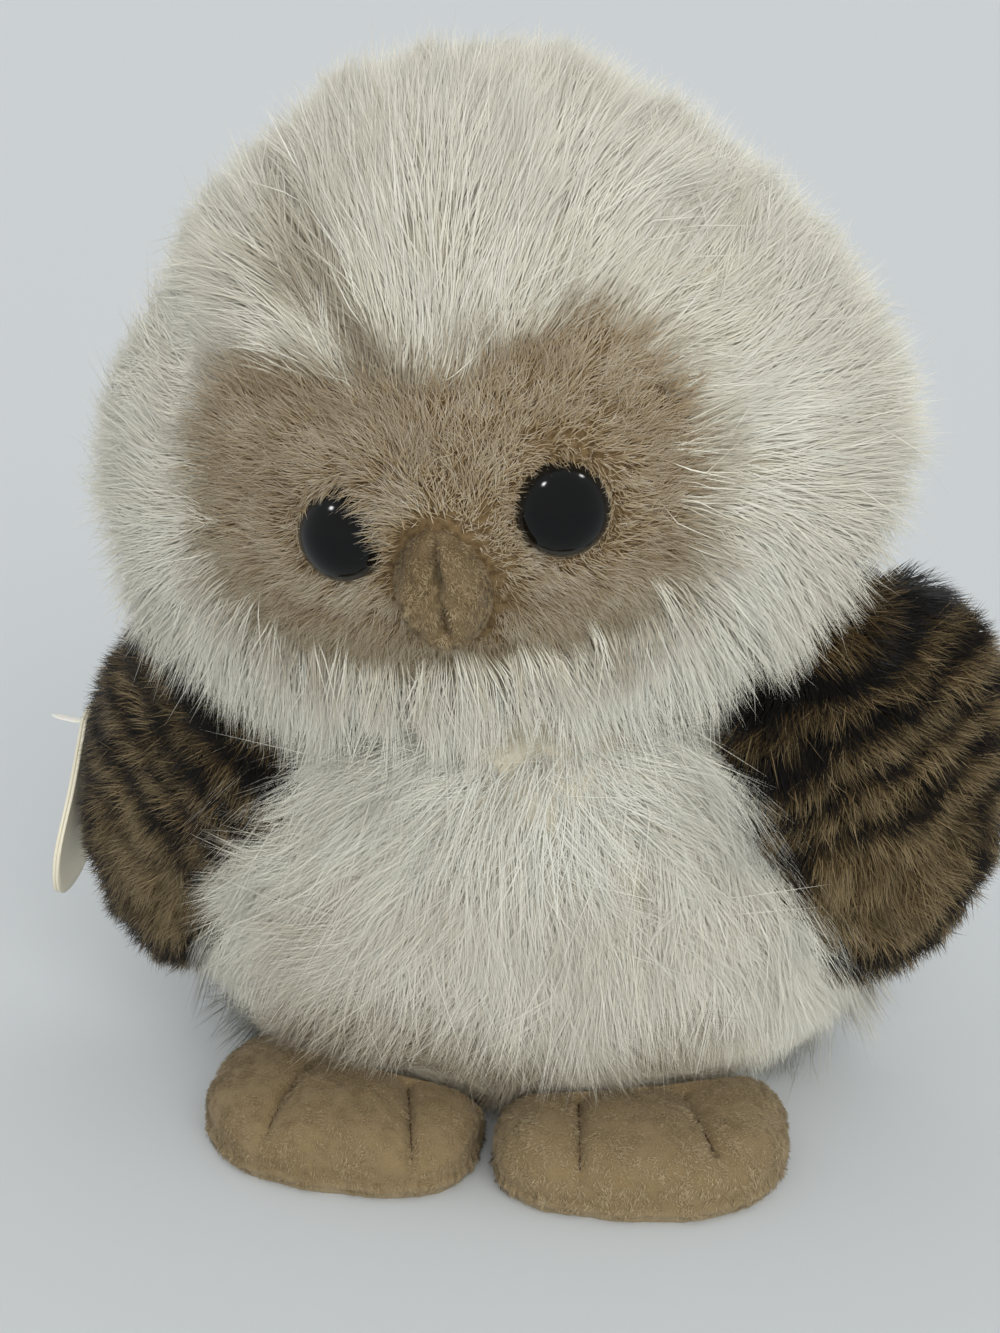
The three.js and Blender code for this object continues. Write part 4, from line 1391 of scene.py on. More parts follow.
    def backings(self) -> None:
        """The cover's panels: the head's form between the roots of the pile and the filling."""
        f = self.finishes
        outer, inner = self.form.inset(self.dense), self.form.inset(self.cover)
        u, v = outer.grid(97, 144)
        middle_u, middle_v = outer.grid(96, 144, 0.5 / 96, 1 - 0.5 / 96)
        middles = outer.at(middle_u + 0.5 / 144, middle_v)
        aside = np.hypot(middles[..., 0], middles[..., 1] - NECK_BACK)
        hole = (middles[..., 2] < self.neck + 12) & (aside < self.neck_hole)
        kept = (middles[..., 2] > self.neck + 1) & ~hole
        which = self.panel(self.form.place.into(middles))
        skin = outer.at(u, v)
        flat = skin.reshape(-1, 3)
        beside = smooth(self.mask_share(self.form.place.into(flat)), 1.0, 1.4)
        low = 0.8 * ripple(flat, 9.0, 5) - 3.0 * self.at_parting(flat) - 3.5 * (1 - beside) - 1.0
        low = low - 4.5 * self.corner(flat)
        lumps = skin + outer.normal(u, v) * low.reshape(u.shape)[..., None]
        for number, word in enumerate(("crown_panel", "side_panel_left", "side_panel_right"), 1):
            piece = shell_grid(word + "_backing", lumps, inner.at(u, v), kept & (which == number))
            dressed(piece, f.cream_base, "head", ["head_" + word])
        face = self.face_form()
        inside = self.form.inset(self.cover + 0.5)
        piece = shell_grid("face_backing", face.inset(2.2).at(u, v), inside.at(u, v), kept & (which == 0))
        dressed(piece, f.tan_base, "head", ["face_panel"])

    def clear(self, lines: Array) -> Array:
        """Long strands lie on the chest and never in it."""
        return TRUNK.clear(lines, 2.0)

    def piles(self) -> None:
        """The long pile of the three panels and the short pile of the face."""
        f = self.finishes
        pile = Pile(27.0, 0.23, rise=20, fold=0.07, bend=0.1, sag=0.6, tuft=6.0, lock=2.0, strands=14,
                    pull=0.4, gather=0.3, mottle=0.07, relief=0.25, under=0.1, wave=0.2)  # fmt: skip
        sparse = replace(pile, thick=0.27, length=25.0, stray=5.0)
        base = Skin(self.roots)

        def reach(points: Array) -> Array:
            """Shorter beside the mask, in the parting, on the top and under the chin, and uneven."""
            own = self.form.place.into(points)
            chin = smooth(-own[:, 2], 22, 40) * (own[:, 1] < 10)
            uneven = 1 + 0.1 * ripple(points, 16.0, 17) + 0.07 * ripple(points, 6.0, 28)
            uneven = uneven - (0.25 + 0.25 * ripple(points, 7.0, 26)) * chin
            off = self.parting(points)
            shorter = np.where(off > 0, 0.6 * np.exp(-((off / 3) ** 2)), 0.4 * np.exp(-((off / 4) ** 2)))
            y, z = own[:, 1], own[:, 2]
            shorter = shorter * smooth(z, 10, 24) * (1 - smooth(z, 58, 76)) * (y < 10)
            beside = 0.5 + 0.5 * smooth(self.mask_share(own), 0.95, 1.45)
            return beside * uneven * (1 - shorter) * (1 - 0.2 * smooth(z, 40, 76))

        def tint(points: Array) -> Array:
            """Paler and greyer patches; tan beside the mask, and low in the parting, where it is also painted
            shade in the crease; paler under the chin, as painted light.
            """
            own = self.form.place.into(points)
            edge = np.exp(-(((self.mask_share(own) - 0.89) / 0.05) ** 2))
            # Darker low in the parting: the mask's tan reaching up it, and painted shade in its crease
            deep = self.at_parting(points) * (0.3 + 0.3 * smooth(-own[:, 2], -50, -24))
            chin = smooth(-own[:, 2], 20, 36) * (own[:, 1] < 20)
            # The 0.12 chin term makes the strands under the chin paler: painted light against the head's
            # shade
            return 0.64 + 0.07 * ripple(points, 30.0, 8) - 0.4 * edge * (1 - 0.7 * chin) - deep + 0.12 * chin

        for name, number, front in (
            ("crown", 1, None), ("side_left_front", 2, True), ("side_left_back", 2, False),
            ("side_right_front", 3, True), ("side_right_back", 3, False),
        ):  # fmt: skip

            def keep(points: Array, number: int = number, front: bool | None = front) -> Array:
                """Roots on one panel, above the neck; the mask's edge wanders."""
                own = self.form.place.into(points)
                off = self.mask_share(own) > 0.87 + 0.05 * ripple(points, 4.0, 33)
                half = True if front is None else (own[:, 1] < 0) == front
                return (self.panel(own, 0.8) == number) & (points[:, 2] > self.neck + 2) & off & half

            behind = front is False
            count = self.nape_strands if behind else self.side_strands if front else self.crown_strands
            piece = (sparse if behind else pile).grow(
                name + "_pile", base, count, keep, self.comb, tint, 10 + len(name), reach, self.clear
            )
            dressed(piece, f.cream, "head")

        short = Pile(8.0, 0.2, rise=54, fold=0.12, tuft=4.0, lock=0.9, pull=0.4, gather=0.2, stray=15,
                     fuzz=0.9, wave=0.25, mottle=0.1)  # fmt: skip
        face = self.face_form().inset(4.0)
        eyes = [self.eye_frame(side) for side in Side]

        def bill(own: Array) -> Array:
            """Distance from the beak's middle in the head's frame, as a share of its outline."""
            x, z = own[:, 0] - self.beak_aside, own[:, 2] + self.beak_drop
            return np.hypot(x / self.beak_width, z / self.beak_height)

        def keep_face(points: Array) -> Array:
            """Roots on the mask, but not under the eyes and the beak."""
            own = self.form.place.into(points)
            near = np.min([np.linalg.norm(points - m, axis=1) for m, _ in eyes], axis=0)
            edge = 0.9 + 0.06 * ripple(points, 4.0, 33)
            return (self.mask_share(own) < edge) & (near > self.eye_radius - 2.5) & (bill(own) > 1.02)

        def stand(points: Array) -> Array:
            """Longer on the bridge and at the mask's edge, shorter round the beak and the owl's left eye."""
            own = self.form.place.into(points)
            bridge = np.exp(-(((own[:, 0] + 6) / 8) ** 2 + ((own[:, 2] - 1) / 14) ** 2))
            low = 0.5 * np.exp(-(((bill(own) - 1) / 0.5) ** 2))
            away = np.linalg.norm(points - eyes[0][0], axis=1)
            low = low + 0.3 * np.exp(-(((away - self.eye_radius) / 3.0) ** 2))
            edge = 0.25 * smooth(self.mask_share(own), 0.75, 1.0)
            return 0.95 + 0.75 * bridge - low + edge + 0.08 * ripple(points, 9.0, 19)

        def over_eyes(lines: Array) -> Array:
            """Strands lie on the eyes' domes. Those whose tips come far over an eye are left out, as not a
            number, except from the bridge over the owl's right eye."""
            for side, (middle, axes) in zip(Side, eyes):
                own = (lines - middle) @ axes
                far = np.hypot(own[:, -1, 0], own[:, -1, 1]) < self.eye_radius - 2.2
                if side is Side.RIGHT:
                    far &= own[:, -1, 0] * side.value > -1.5
                lines = np.where(far[:, None, None], np.nan, lines)
                inside = np.clip(1 - (np.hypot(own[..., 0], own[..., 1]) / self.eye_radius) ** 2, 0, 1)
                top = np.where(inside > 0, self.eye_rim + self.eye_dome * np.sqrt(inside) + 0.3, -9.0)
                own[..., 2] = np.maximum(own[..., 2], np.where(own[..., 2] > -3.0, top, own[..., 2]))
                lines = middle + own @ axes.T
            return lines

        def tan(points: Array) -> Array:
            """Darker over the brow, paler on the bridge and over the chin."""
            own = self.form.place.into(points)
            bridge = np.exp(-((own[:, 0] / 14) ** 2 + ((own[:, 2] - 2) / 14) ** 2))
            return 0.5 + 0.12 * ripple(points, 14.0, 4) - 0.06 * smooth(own[:, 2], -20, 25) + 0.1 * bridge

        piece = short.grow(
            "face_pile", face, self.face_strands, keep_face, self.comb_face, tan, 21, stand, over_eyes
        )
        dressed(piece, f.tan, "head")

    def eyes(self) -> None:
        """Safety eyes: a profile turned about its own axis, dome, rim, back and ridged shank."""
        a = np.linspace(0, math.pi / 2, 22)
        dome = np.stack([self.eye_radius * np.cos(a), self.eye_rim + self.eye_dome * np.sin(a)], -1)
        ridges = np.linspace(-self.shank_length, -6.2, 19)
        shank = np.stack([self.shank - 0.3 * (np.arange(19) % 3 == 0), ridges], -1)
        r = self.eye_radius
        lip = [[r - 0.35, 0.0], [r, 0.35], [r, self.eye_rim * 0.7]]
        profile = np.vstack([[[0.0, -self.shank_length]], shank, [[self.shank, 0.0]], lip, dome])
        profile[-1, 0] = 0.0
        a = TURN * np.arange(self.eye_faces) / self.eye_faces
        far, along = profile[:, :1], np.repeat(profile[:, 1:], self.eye_faces, 1)
        own = np.stack([far * np.cos(a), far * np.sin(a), along], -1)
        for side in Side:
            middle, axes = self.eye_frame(side)
            piece = closed_grid(f"safety_eye_{side.word}", middle + own @ axes.T)
            dressed(piece, self.finishes.eye, "head", [f"eye_{side.word}"])

    def beak(self) -> None:
        """A velour pad with a crease: the pad's height is less 34 % exp(-(x - 0.5)^2) along its middle."""
        shares = [[math.cos(a), math.sin(a)] for a in np.linspace(0, TURN, 13)[:-1]]
        y = self.face_depth(self.beak_aside, -self.beak_drop) + self.beak_sink
        middle = self.form.place.out(np.array([[self.beak_aside, y, -self.beak_drop]]))[0]
        place = Place(tuple(middle), self.form.place.lean)
        pad = Pad(tuple(map(tuple, shares)), self.beak_width, self.beak_height, thick=self.beak_thick,
                  back=self.beak_back, fullness=0.42, mirror=1, place=place)  # fmt: skip

        def surface(u: Array, v: Array) -> Array:
            """The pad with its crease and lumps, in the owl's frame."""
            own = pad.local(u, v)
            crease = 1 - 0.34 * np.exp(-(((own[..., 0] - 0.5) / 1.0) ** 2)) * smooth(own[..., 2], -10, -5)
            own[..., 1] *= np.where(own[..., 1] < 0, crease, 1)
            lumps = 0.35 * ripple(own, 7.0, 2) + 0.22 * ripple(own, 2.4, 3)
            own[..., 1] -= np.where(own[..., 1] < 0, lumps, 0)
            return pad.place.out(own)

        piece = closed_grid("beak_cover", surface(*pad.grid(60, 96)))
        dressed(piece, self.finishes.velour, "head", ["beak"])
        nap = replace(NAP, length=1.2, thick=0.15, stray=26)
        piece = nap.grow(
            "beak_nap", Skin(surface), self.beak_strands, lambda p: np.ones(len(p), bool), downwards,
            lambda p: 0.52 + 0.3 * ripple(p, 3.5, 41), 42,
        )  # fmt: skip
        dressed(piece, self.finishes.fuzz, "head")

    def filling(self) -> None:
        """Loose fibre: the head's form inside its cover, with a plug down into the neck."""
        form = self.form.inset(self.cover + 0.4)
        u, v = form.grid(60, 96)
        points = form.at(u, v)
        points = points - form.normal(u, v) * (0.5 + 0.5 * ripple(points, 12.0, 23))[..., None]
        points[..., 2] += (self.neck + 0.5 - points[..., 2]) * (in_neck(points) * (v < 0.5))
        piece = closed_grid("head_stuffing", points)
        dressed(piece, self.finishes.filling, "head", ["head_filling"])

    def build(self) -> None:
        """Builds the head."""
        self.filling()
        for side in Side:
            washer = self.nodes[f"eye_washer_{side.word}"]
            washer.data.materials.clear()
            washer.data.materials.append(self.finishes.washer)
        self.backings()
        self.piles()
        self.eyes()
        self.beak()


@dataclass
class Body:
    """The body's cover in belly, back and base panels."""

    finishes: Finishes
    form: Trunk = TRUNK
    root_depth: float = 6.0
    dense: float = 3.0
    cover: float = 10.0
    seam_back: float = 8.0  # where the belly's panel meets the back's
    base_inset: float = 6.0
    belly_strands: int = 110000  # if they covered the whole form
    back_strands: int = 74000
    patches: tuple[tuple[tuple[float, float, float], float], ...] = (  # tan ones: middle and radius
        ((-28.0, -42.0, 58.0), 12.0),
        ((26.0, -42.0, 78.0), 9.0),
    )

    def comb(self, points: Array, normals: Array) -> Array:
        """Down, and aside on the owl's right: the pile parts along the middle of the belly.

        Args:
            points: (n, 3) in mm.
            normals: (n, 3).

        Returns:
            (n, 3).
        """
        x, y, z = points.T
        aside = np.interp(x, [-60, -25, 12, 45, 70], [-1.1, -0.8, 0.0, 0.25, 0.45])
        aside = aside * (1 - 0.8 * smooth(y, 0, 40))
        flow = np.stack([aside, np.zeros(len(x)), -1 + 0.45 * smooth(z, 68, 92)], -1)
        bent = (0.6 * ripple(points, 20.0, 6) + 0.35 * ripple(points, 8.0, 7)) * (1 - 0.7 * smooth(y, 0, 30))
        return turned(tangent(flow, normals), normals, bent)

    def clear(self, lines: Array) -> Array:
        """Strands stay under the head's backing and over the feet.

        Args:
            lines: (n, levels, 3) in mm.

        Returns:
            The same, moved.
        """
        lines = HEAD.inset(9.0).clear(lines, 0.0)
        for side in Side:
            lines = Foot(self.finishes, side).over(lines, 0.6)
        return lines

    def build(self) -> None:
        """Builds the body."""
        f = self.finishes
        outer, dense, inner = (self.form.inset(d) for d in (self.root_depth, self.dense, self.cover))
        u, v = dense.grid(73, 144)
        mu, mv = dense.grid(72, 144, 0.5 / 72, 1 - 0.5 / 72)
        middles = dense.at(mu + 0.5 / 144, mv)
        skin, inside = dense.at(u, v), inner.at(u, v)
        skin = skin + dense.normal(u, v) * (0.8 * ripple(skin, 9.0, 5) * (np.abs(v - 0.5) < 0.4))[..., None]
        front = middles[..., 1] < self.seam_back
        base = mv < dense.end
        pile = Pile(26.0, 0.22, rise=24, fold=0.1, sag=0.25, tuft=7.5, lock=2.0, strands=14, pull=0.5,
                    gather=0.5, mottle=0.08, relief=0.4, under=1.0, stray=10, wave=0.4)  # fmt: skip

        def tint(points: Array) -> Array:
            """Paler and darker patches, two tan ones on the belly, painted shade that greys the foot of the
            fringe at the front, and painted light on the top under the head.
            """
            tan = [np.exp(-(np.linalg.norm(points - np.array(m), axis=1) / r) ** 2) for m, r in self.patches]
            x, y, z = points.T
            # Painted shade: the front of the fringe, low over the feet, is greyer
            fringe_shade = 0.66 * smooth(-z, -60, -30) * (1 - smooth(np.abs(x), 36, 52)) * (y < 8)
            # Painted light: paler on the top, where the head shades the chest
            top = 0.14 * smooth(z, 76, 92)
            return 0.68 + 0.1 * ripple(points, 26.0, 9) - 0.16 * sum(tan) - fringe_shade + top

        def reach(points: Array) -> Array:
            """Uneven, shorter at the back and over the outer sides of the feet."""
            x, y, z = points.T
            out = np.where(x > 0, smooth(x, 8, 32), smooth(-x, 26, 52))
            out = np.maximum(out, np.exp(-((x / 7) ** 2)))
            aside = out * smooth(-z, -56, -28) * (y < 10)
            uneven = 1 + 0.1 * ripple(points, 17.0, 18)
            return uneven * (1 - 0.3 * smooth(y, 20, 50)) * (1 - 0.55 * aside)

        for name, kept in (("belly", front & ~base), ("back", ~front & ~base)):
            piece = shell_grid(name + "_backing", skin, inside, kept)
            dressed(piece, f.cream_base, "torso", [name + "_panel"])
            for side in Side:

                def keep(points: Array, name: str = name, side: Side = side) -> Array:
                    """Roots on one half of a panel, below the neck and above the base."""
                    ahead = (points[:, 1] < self.seam_back) == (name == "belly")
                    half = (points[:, 0] > 0) == (side is Side.LEFT)
                    return ahead & half & (points[:, 2] > 7.0) & (points[:, 2] < 98.0)

                behind = name == "back"
                count = self.back_strands if behind else self.belly_strands
                piece = replace(pile, thick=0.26 if behind else pile.thick).grow(
                    f"{name}_{side.word}_pile", outer, count, keep, self.comb, tint, 31 + len(name), reach,
                    self.clear)  # fmt: skip
                dressed(piece, f.cream, "torso")
        self.base()
        self.filling()

    def base(self) -> None:
        """The flat base: an oval 3 mm thick with a rounded edge, uneven where the filling presses."""
        w, middle, depth = (float(n) for n in self.form.section(np.array(1.5)))
        s = np.linspace(-0.5, 0.5, 41) * math.pi
        reach = np.sign(np.cos(s)) * np.abs(np.cos(s)) ** 0.18
        a = TURN * np.arange(96) / 96
        x = reach[:, None] * np.cos(a) * (w - self.base_inset)
        y = middle + reach[:, None] * np.sin(a) * (depth - self.base_inset)
        z = 1.5 + 1.4 * np.abs(np.sin(s)) ** 0.3 * np.sign(s)
        points = np.stack([x, y, np.broadcast_to(z[:, None], x.shape)], -1)
        quilted = 0.12 * (1 + ripple(points, 14.0, 27)) * reach[:, None] ** 8
        points[..., 2] += np.where(s[:, None] > 0, 0.0, quilted)
        piece = closed_grid("base_cover", points)
        dressed(piece, self.finishes.cream_base, "torso", ["base_panel"])

    def filling(self) -> None:
        """Loose fibre: the body's form inside its cover, with a plug up into the neck."""
        form = self.form.inset(self.cover + 0.4)
        u, v = form.grid(60, 96)
        points = form.at(u, v)
        points = points - form.normal(u, v) * (0.5 + 0.5 * ripple(points, 12.0, 24))[..., None]
        points[..., 2] += (self.form.height - 0.2 - points[..., 2]) * (in_neck(points) * (v > 0.5))
        piece = closed_grid("body_stuffing", points)
        dressed(piece, self.finishes.filling, "torso", ["body_filling"])


@dataclass
class Wing:
    """A padded wing in striped pile, face and lining."""

    finishes: Finishes
    side: Side
    chord: float = 71.0
    height: float = 95.0
    thick: float = 14.0
    cover: float = 7.0
    root_depth: float = 5.0
    sweep: float = 31.0
    left_middle: tuple[float, float, float] = (76.0, -2.0, 79.0)
    right_middle: tuple[float, float, float] = (-73.0, -2.0, 65.0)
    right_lean: float = 17.0
    band: float = 10.5  # from band to band over the upper wing
    rim_band: float = 9.5  # and along the rim
    face_strands: int = 44000  # if they covered both faces
    lining_strands: int = 30000
    outline: tuple[tuple[float, float], ...] = (
        (0.5, 0.02), (0.46, 0.22), (0.3, 0.41), (0.05, 0.5), (-0.3, 0.43), (-0.49, 0.2),
        (-0.42, -0.12), (-0.22, -0.38), (0.0, -0.49), (0.31, -0.41), (0.47, -0.22),
    )  # fmt: skip

    @property
    def left(self) -> bool:
        """Whether it is the owl's left wing."""
        return self.side is Side.LEFT

    def form(self) -> Pad:
        """The wing's dense surface.

        Returns:
            The form, hung lower and leaning out on the owl's right.
        """
        s = self.side.value
        origin = self.left_middle if self.left else self.right_middle
        place = Place(origin, lean=-s * (0.0 if self.left else self.right_lean), sweep=s * self.sweep)
        return Pad(self.outline, self.chord, self.height, self.thick, self.thick, 0.62, s, place)

    def clear(self, points: Array, gap: float) -> Array:
        """Points moved out of the body and the head."""
        return HEAD.clear(TRUNK.clear(points, gap), gap)

    def lie(self, lines: Array) -> Array:
        """Strands lie on the body, and flat behind the tag.

        Args:
            lines: (n, levels, 3) in mm.

        Returns:
            The same, moved.
        """
        tag = TAG_PLACE.into(TRUNK.clear(lines, 0.0))
        behind = (np.abs(tag[..., 1]) < 15) & (tag[..., 2] < 3) & (tag[..., 2] > -46) & (tag[..., 0] < -1.0)
        tag[..., 0] = np.where(behind, -1.0 + 0.1 * tag[..., 0], tag[..., 0])
        return TAG_PLACE.out(tag)

    def stripes(self, points: Array) -> Array:
        """Dark bands that rise outwards over the upper wing and follow the rim lower down, each bent.

        Args:
            points: (n, 3) in mm.

        Returns:
            Places on the brown finish's colours.
        """
        own = self.form().place.into(points)
        x, z = own[:, 0] * self.side.value, own[:, 2]
        slant = 0.91 * z - 0.41 * x + 1.6 * ripple(points, 30.0, 12)
        rim = np.hypot(x / 0.9, z + 12) + 1.6 * ripple(points, 24.0, 13)
        low = smooth(-z, -6, 14)
        dark = smooth(np.sin(TURN * slant / self.band), -0.6, 0.5) * (1 - low)
        bent = smooth(np.sin(TURN * rim / self.rim_band), -0.6, 0.4)
        dark = dark + bent * low * smooth(np.hypot(x, z + 11), 10, 22)
        patch = smooth(z - 0.6 * x, 14, 40)
        return 0.8 - 0.7 * dark - 0.25 * patch + 0.1 * ripple(points, 9.0, 14)

    def comb(self, points: Array, normals: Array) -> Array:
        """Outwards and down, and out over the rim.

        Args:
            points: (n, 3) in mm.
            normals: (n, 3).

        Returns:
            (n, 3).
        """
        s = self.side.value
        x, _, z = self.form().place.into(points).T
        flow = np.stack([s * (0.45 + x * s / 40), np.zeros(len(x)), -0.8 + z / 60], -1)
        flow = flow @ self.form().place.axes.T
        return turned(tangent(flow, normals), normals, 0.6 * ripple(points, 16.0, 15 + s))

    def build(self) -> None:
        """Builds the wing."""
        f, form, word = self.finishes, self.form(), self.side.word
        outer, inner = form.inset(self.root_depth), form.inset(self.cover)
        body = "wing_" + word
        rows, columns = 49, 96
        pile = Pile(10.5, 0.28, fold=0.14, sag=0.03, tuft=4.0, lock=1.2, pull=0.5, mottle=0.12, relief=0.3,
                    stray=12, fuzz=0.6, wave=0.2)  # fmt: skip
        deep = form.inset(self.cover + 0.5)
        u, v = deep.grid(41, 72)
        points = self.clear(deep.at(u, v), 3.5)
        points = points - (0.4 + 0.4 * ripple(points, 10.0, 25))[..., None] * deep.normal(u, v)
        piece = closed_grid(body + "_stuffing", points)
        dressed(piece, f.filling, body, [body + "_filling"])
        for name, low, high in (("lining", 0.0, 0.5), ("face", 0.5, 1.0)):
            u, v = outer.grid(rows, columns, low, high)
            skin, inside = self.clear(outer.at(u, v), 1.0), self.clear(inner.at(u, v), 2.5)
            piece = shell_grid(f"{body}_{name}_backing", skin, inside, np.ones((rows - 1, columns), bool))
            dressed(piece, f.brown_base, body, [f"{body}_{name}"])

            def keep(points: Array, name: str = name) -> Array:
                """Roots on one face of the wing that are clear of the body and the head."""
                front = form.place.into(points)[:, 1] < 0
                moved = np.linalg.norm(self.clear(points, -3.0) - points, axis=1) > 0
                return (front if name == "face" else ~front) & ~moved

            count = self.face_strands if name == "face" else self.lining_strands
            piece = pile.grow(f"{body}_{name}_pile", outer, count, keep, self.comb, self.stripes,
                              50 + len(name), clear=self.lie)  # fmt: skip
            dressed(piece, f.brown, body)


@dataclass
class Foot:
    """A padded velour foot with two stitched toe lines."""

    finishes: Finishes
    side: Side
    width: float = 62.0
    length: float = 50.0
    thick: float = 10.0
    middle: float = 7.0  # height of the widest part
    apart: float = 33.0  # its middle from the owl's
    forward: float = 34.0
    cover: float = 2.95  # with the gap to the filling
    valley: float = 3.0  # depth at a toe line
    welt: float = 0.7
    puckers: int = 62
    stitch: float = 2.0
    thread: float = 0.55
    strands: int = 26000
    outline: tuple[tuple[float, float], ...] = (
        (0.5, -0.05), (0.45, 0.22), (0.26, 0.43), (-0.05, 0.5), (-0.34, 0.47), (-0.48, 0.3),
        (-0.49, -0.05), (-0.38, -0.36), (-0.1, -0.5), (0.2, -0.48), (0.44, -0.32),
    )  # fmt: skip

    def form(self) -> Pad:
        """The foot's surface.

        Returns:
            The form, without its sole, welt and valleys.
        """
        mirror, thick = self.side.value, self.thick
        place = Place((mirror * self.apart, -self.forward, self.middle))
        return Pad(self.outline, self.width, self.length, thick, thick, 0.5, mirror, place, lying=True)

    @property
    def toe_lines(self) -> tuple[tuple[tuple[float, float], tuple[float, float]], ...]:
        """The toe lines, which the two feet have unlike.

        Returns:
            The back and front ends of each, as shares of the foot.
        """
        if self.side is Side.LEFT:
            return ((-0.22, 0.06), (-0.17, 0.47)), ((0.14, -0.06), (0.27, 0.3))
        return ((-0.24, 0.06), (-0.32, 0.46)), ((0.14, -0.06), (0.2, 0.4))

    def toe_line(self, number: int, t: Array) -> Array:
        """Places along a toe line in plan, in the foot's frame: across and forwards, in mm."""
        back, front = (np.array(p) * [self.width, self.length] for p in self.toe_lines[number])
        return back + (front - back) * t[..., None]

    def profile(self, v: Array) -> tuple[Array, Array]:
        """Share of the outline and height along the foot's section.

        The sole runs flat to 0.95 of the outline for v under 0.3. The wall goes up to the rim at 0.5 with a
        welt, 0.7 mm exp(-((z - 2.4) / 1.2)^2), where upper and sole are sewn. The top is the pad's own dome:
        cos(s)^0.5 and z = 7 + 10 sin(s).

        Args:
            v: from the sole's middle to the top's.

        Returns:
            The shares and the heights.
        """
        wall = np.clip((v - 0.3) / 0.2, 0, 1)
        s = np.clip(v - 0.5, 0, 0.5) * math.pi
        reach = np.where(v < 0.3, 0.95 * v / 0.3, 0.95 + 0.05 * np.sin(wall * math.pi / 2))
        reach = np.where(v < 0.5, reach, np.maximum(np.cos(s), 0) ** 0.5)
        z = np.where(v < 0.5, self.middle * wall, self.middle + self.thick * np.sin(s))
        welt = self.welt * np.exp(-(((z - 2.4) / 1.2) ** 2))
        return reach + np.where(v > 0.3, welt, 0) / (self.length / 2), z

    def surface(self, u: Array, v: Array) -> Array:
        """The foot's surface in its own frame. At a distance d from a toe line, the top sinks by
        3 mm (0.6 exp(-(d / 1.1)^2) + 0.4 exp(-(d / 5)^2)), and puckers run round the seam over the welt.

        Args:
            u: round the outline.
            v: from the sole's middle to the top's.

        Returns:
            (..., 3) in mm.
        """
        reach, z = self.profile(v)
        plan = self.form().plan(u)
        own = np.stack([plan[..., 0] * reach, -plan[..., 1] * reach, z], -1)
        flat = np.stack([own[..., 0] * self.side.value, -own[..., 1]], -1)
        sunk = np.zeros(z.shape)
        for number in range(len(self.toe_lines)):
            path = self.toe_line(number, np.linspace(0, 1, 40))
            d = np.min(np.linalg.norm(flat[..., None, :] - path, axis=-1), axis=-1)
            sunk = np.maximum(sunk, np.exp(-((d / 1.1) ** 2)) * 0.6 + np.exp(-((d / 5.0) ** 2)) * 0.4)
        own[..., 2] -= self.valley * sunk * smooth(z, 5.0, 10.0)
        pucker = 0.35 * np.sin(TURN * self.puckers * u) * np.exp(-(((z - 3.4) / 1.3) ** 2)) * (v > 0.3)
        own[..., :2] *= (1 + pucker / (self.length / 2))[..., None]
        return own

    def over(self, points: Array, gap: float) -> Array:
        """Lifts points onto the foot's dome, z = 7 + 10 (1 - r^4)^(1/2) at the share r of the outline.

        Args:
            points: (..., 3) in mm.
            gap: over the dome, in mm.

        Returns:
            The points, those inside the dome lifted.
        """
        own = self.form().place.into(points)
        edge = self.form().plan(np.linspace(0, 1, 200, endpoint=False)) * [1, -1]
        share = share_of(own[..., 0], own[..., 1], edge)
        top = self.thick * np.sqrt(np.clip(1 - share**4, 0, 1)) + gap
        lift = np.where((share < 1) & (own[..., 2] < top), top - own[..., 2], 0.0)
        return points + lift[..., None] * [0, 0, 1]

    def height(self, x: Array, y: Array) -> Array:
        """Height of the foot's top, taken from its surface's nearest places.

        Args:
            x: across, in the foot's frame.
            y: backwards.

        Returns:
            (n,) in mm.
        """
        u, v = self.form().grid(60, 160, 0.5, 1.0)
        top = self.surface(u, v).reshape(-1, 3)
        gap = np.hypot(top[:, 0] - x[:, None], top[:, 1] - y[:, None])
        return top[np.argmin(gap, axis=1), 2]

    def build(self) -> None:
        """Builds the foot."""
        word, form, f = self.side.word, self.form(), self.finishes
        body, mirror = "foot_" + word, self.side.value
        place = replace(form.place, origin=(*form.place.origin[:2], 0.0))

        def finished(u: Array, v: Array) -> Array:
            """The cover with its unevenness, clear of the body, in the owl's frame."""
            own = self.surface(u, v)
            across = unit(own * [1, 1, 0.5] - [0, 0, 2.0])
            own = own + across * (0.14 * ripple(own, 3.0, 29) + 0.3 * ripple(own, 14.0, 30))[..., None]
            own[..., 2] = np.maximum(own[..., 2], 0.0)
            return TRUNK.clear(place.out(own), 1.0)

        piece = closed_grid(body + "_cover", finished(*form.grid(81, 180)))
        dressed(piece, f.foot_velour, body, [body + "_upper", body + "_sole"])

        def keep(points: Array) -> Array:
            """Not under the foot, and not behind the body's pile."""
            return (points[:, 2] > 1.2) & (np.linalg.norm(TRUNK.clear(points, 1.5) - points, axis=1) == 0)

        # The owl's left foot's nap is paler than the right's: painted light, as that foot is the more lit one
        piece = NAP.grow(body + "_nap", Skin(finished), self.strands, keep, downwards,
                         lambda p: 0.67 + 0.1 * mirror + 0.1 * ripple(p, 6.0, 44), 45 + mirror)  # fmt: skip
        dressed(piece, f.fuzz, body)

        reach, z = self.profile(np.linspace(0, 1, 40))
        plan = form.plan(np.arange(64) / 64) * (1 - self.cover / (self.length / 2))
        up = np.broadcast_to(np.clip(z * 0.75 + 1.3, 2.8, 13.6)[:, None], (40, 64))
        inner = np.stack([plan[:, 0] * reach[:, None], -plan[:, 1] * reach[:, None], up], -1)
        piece = closed_grid(body + "_stuffing", TRUNK.clear(place.out(inner), 3.5))
        dressed(piece, f.filling, body, [body + "_filling"])

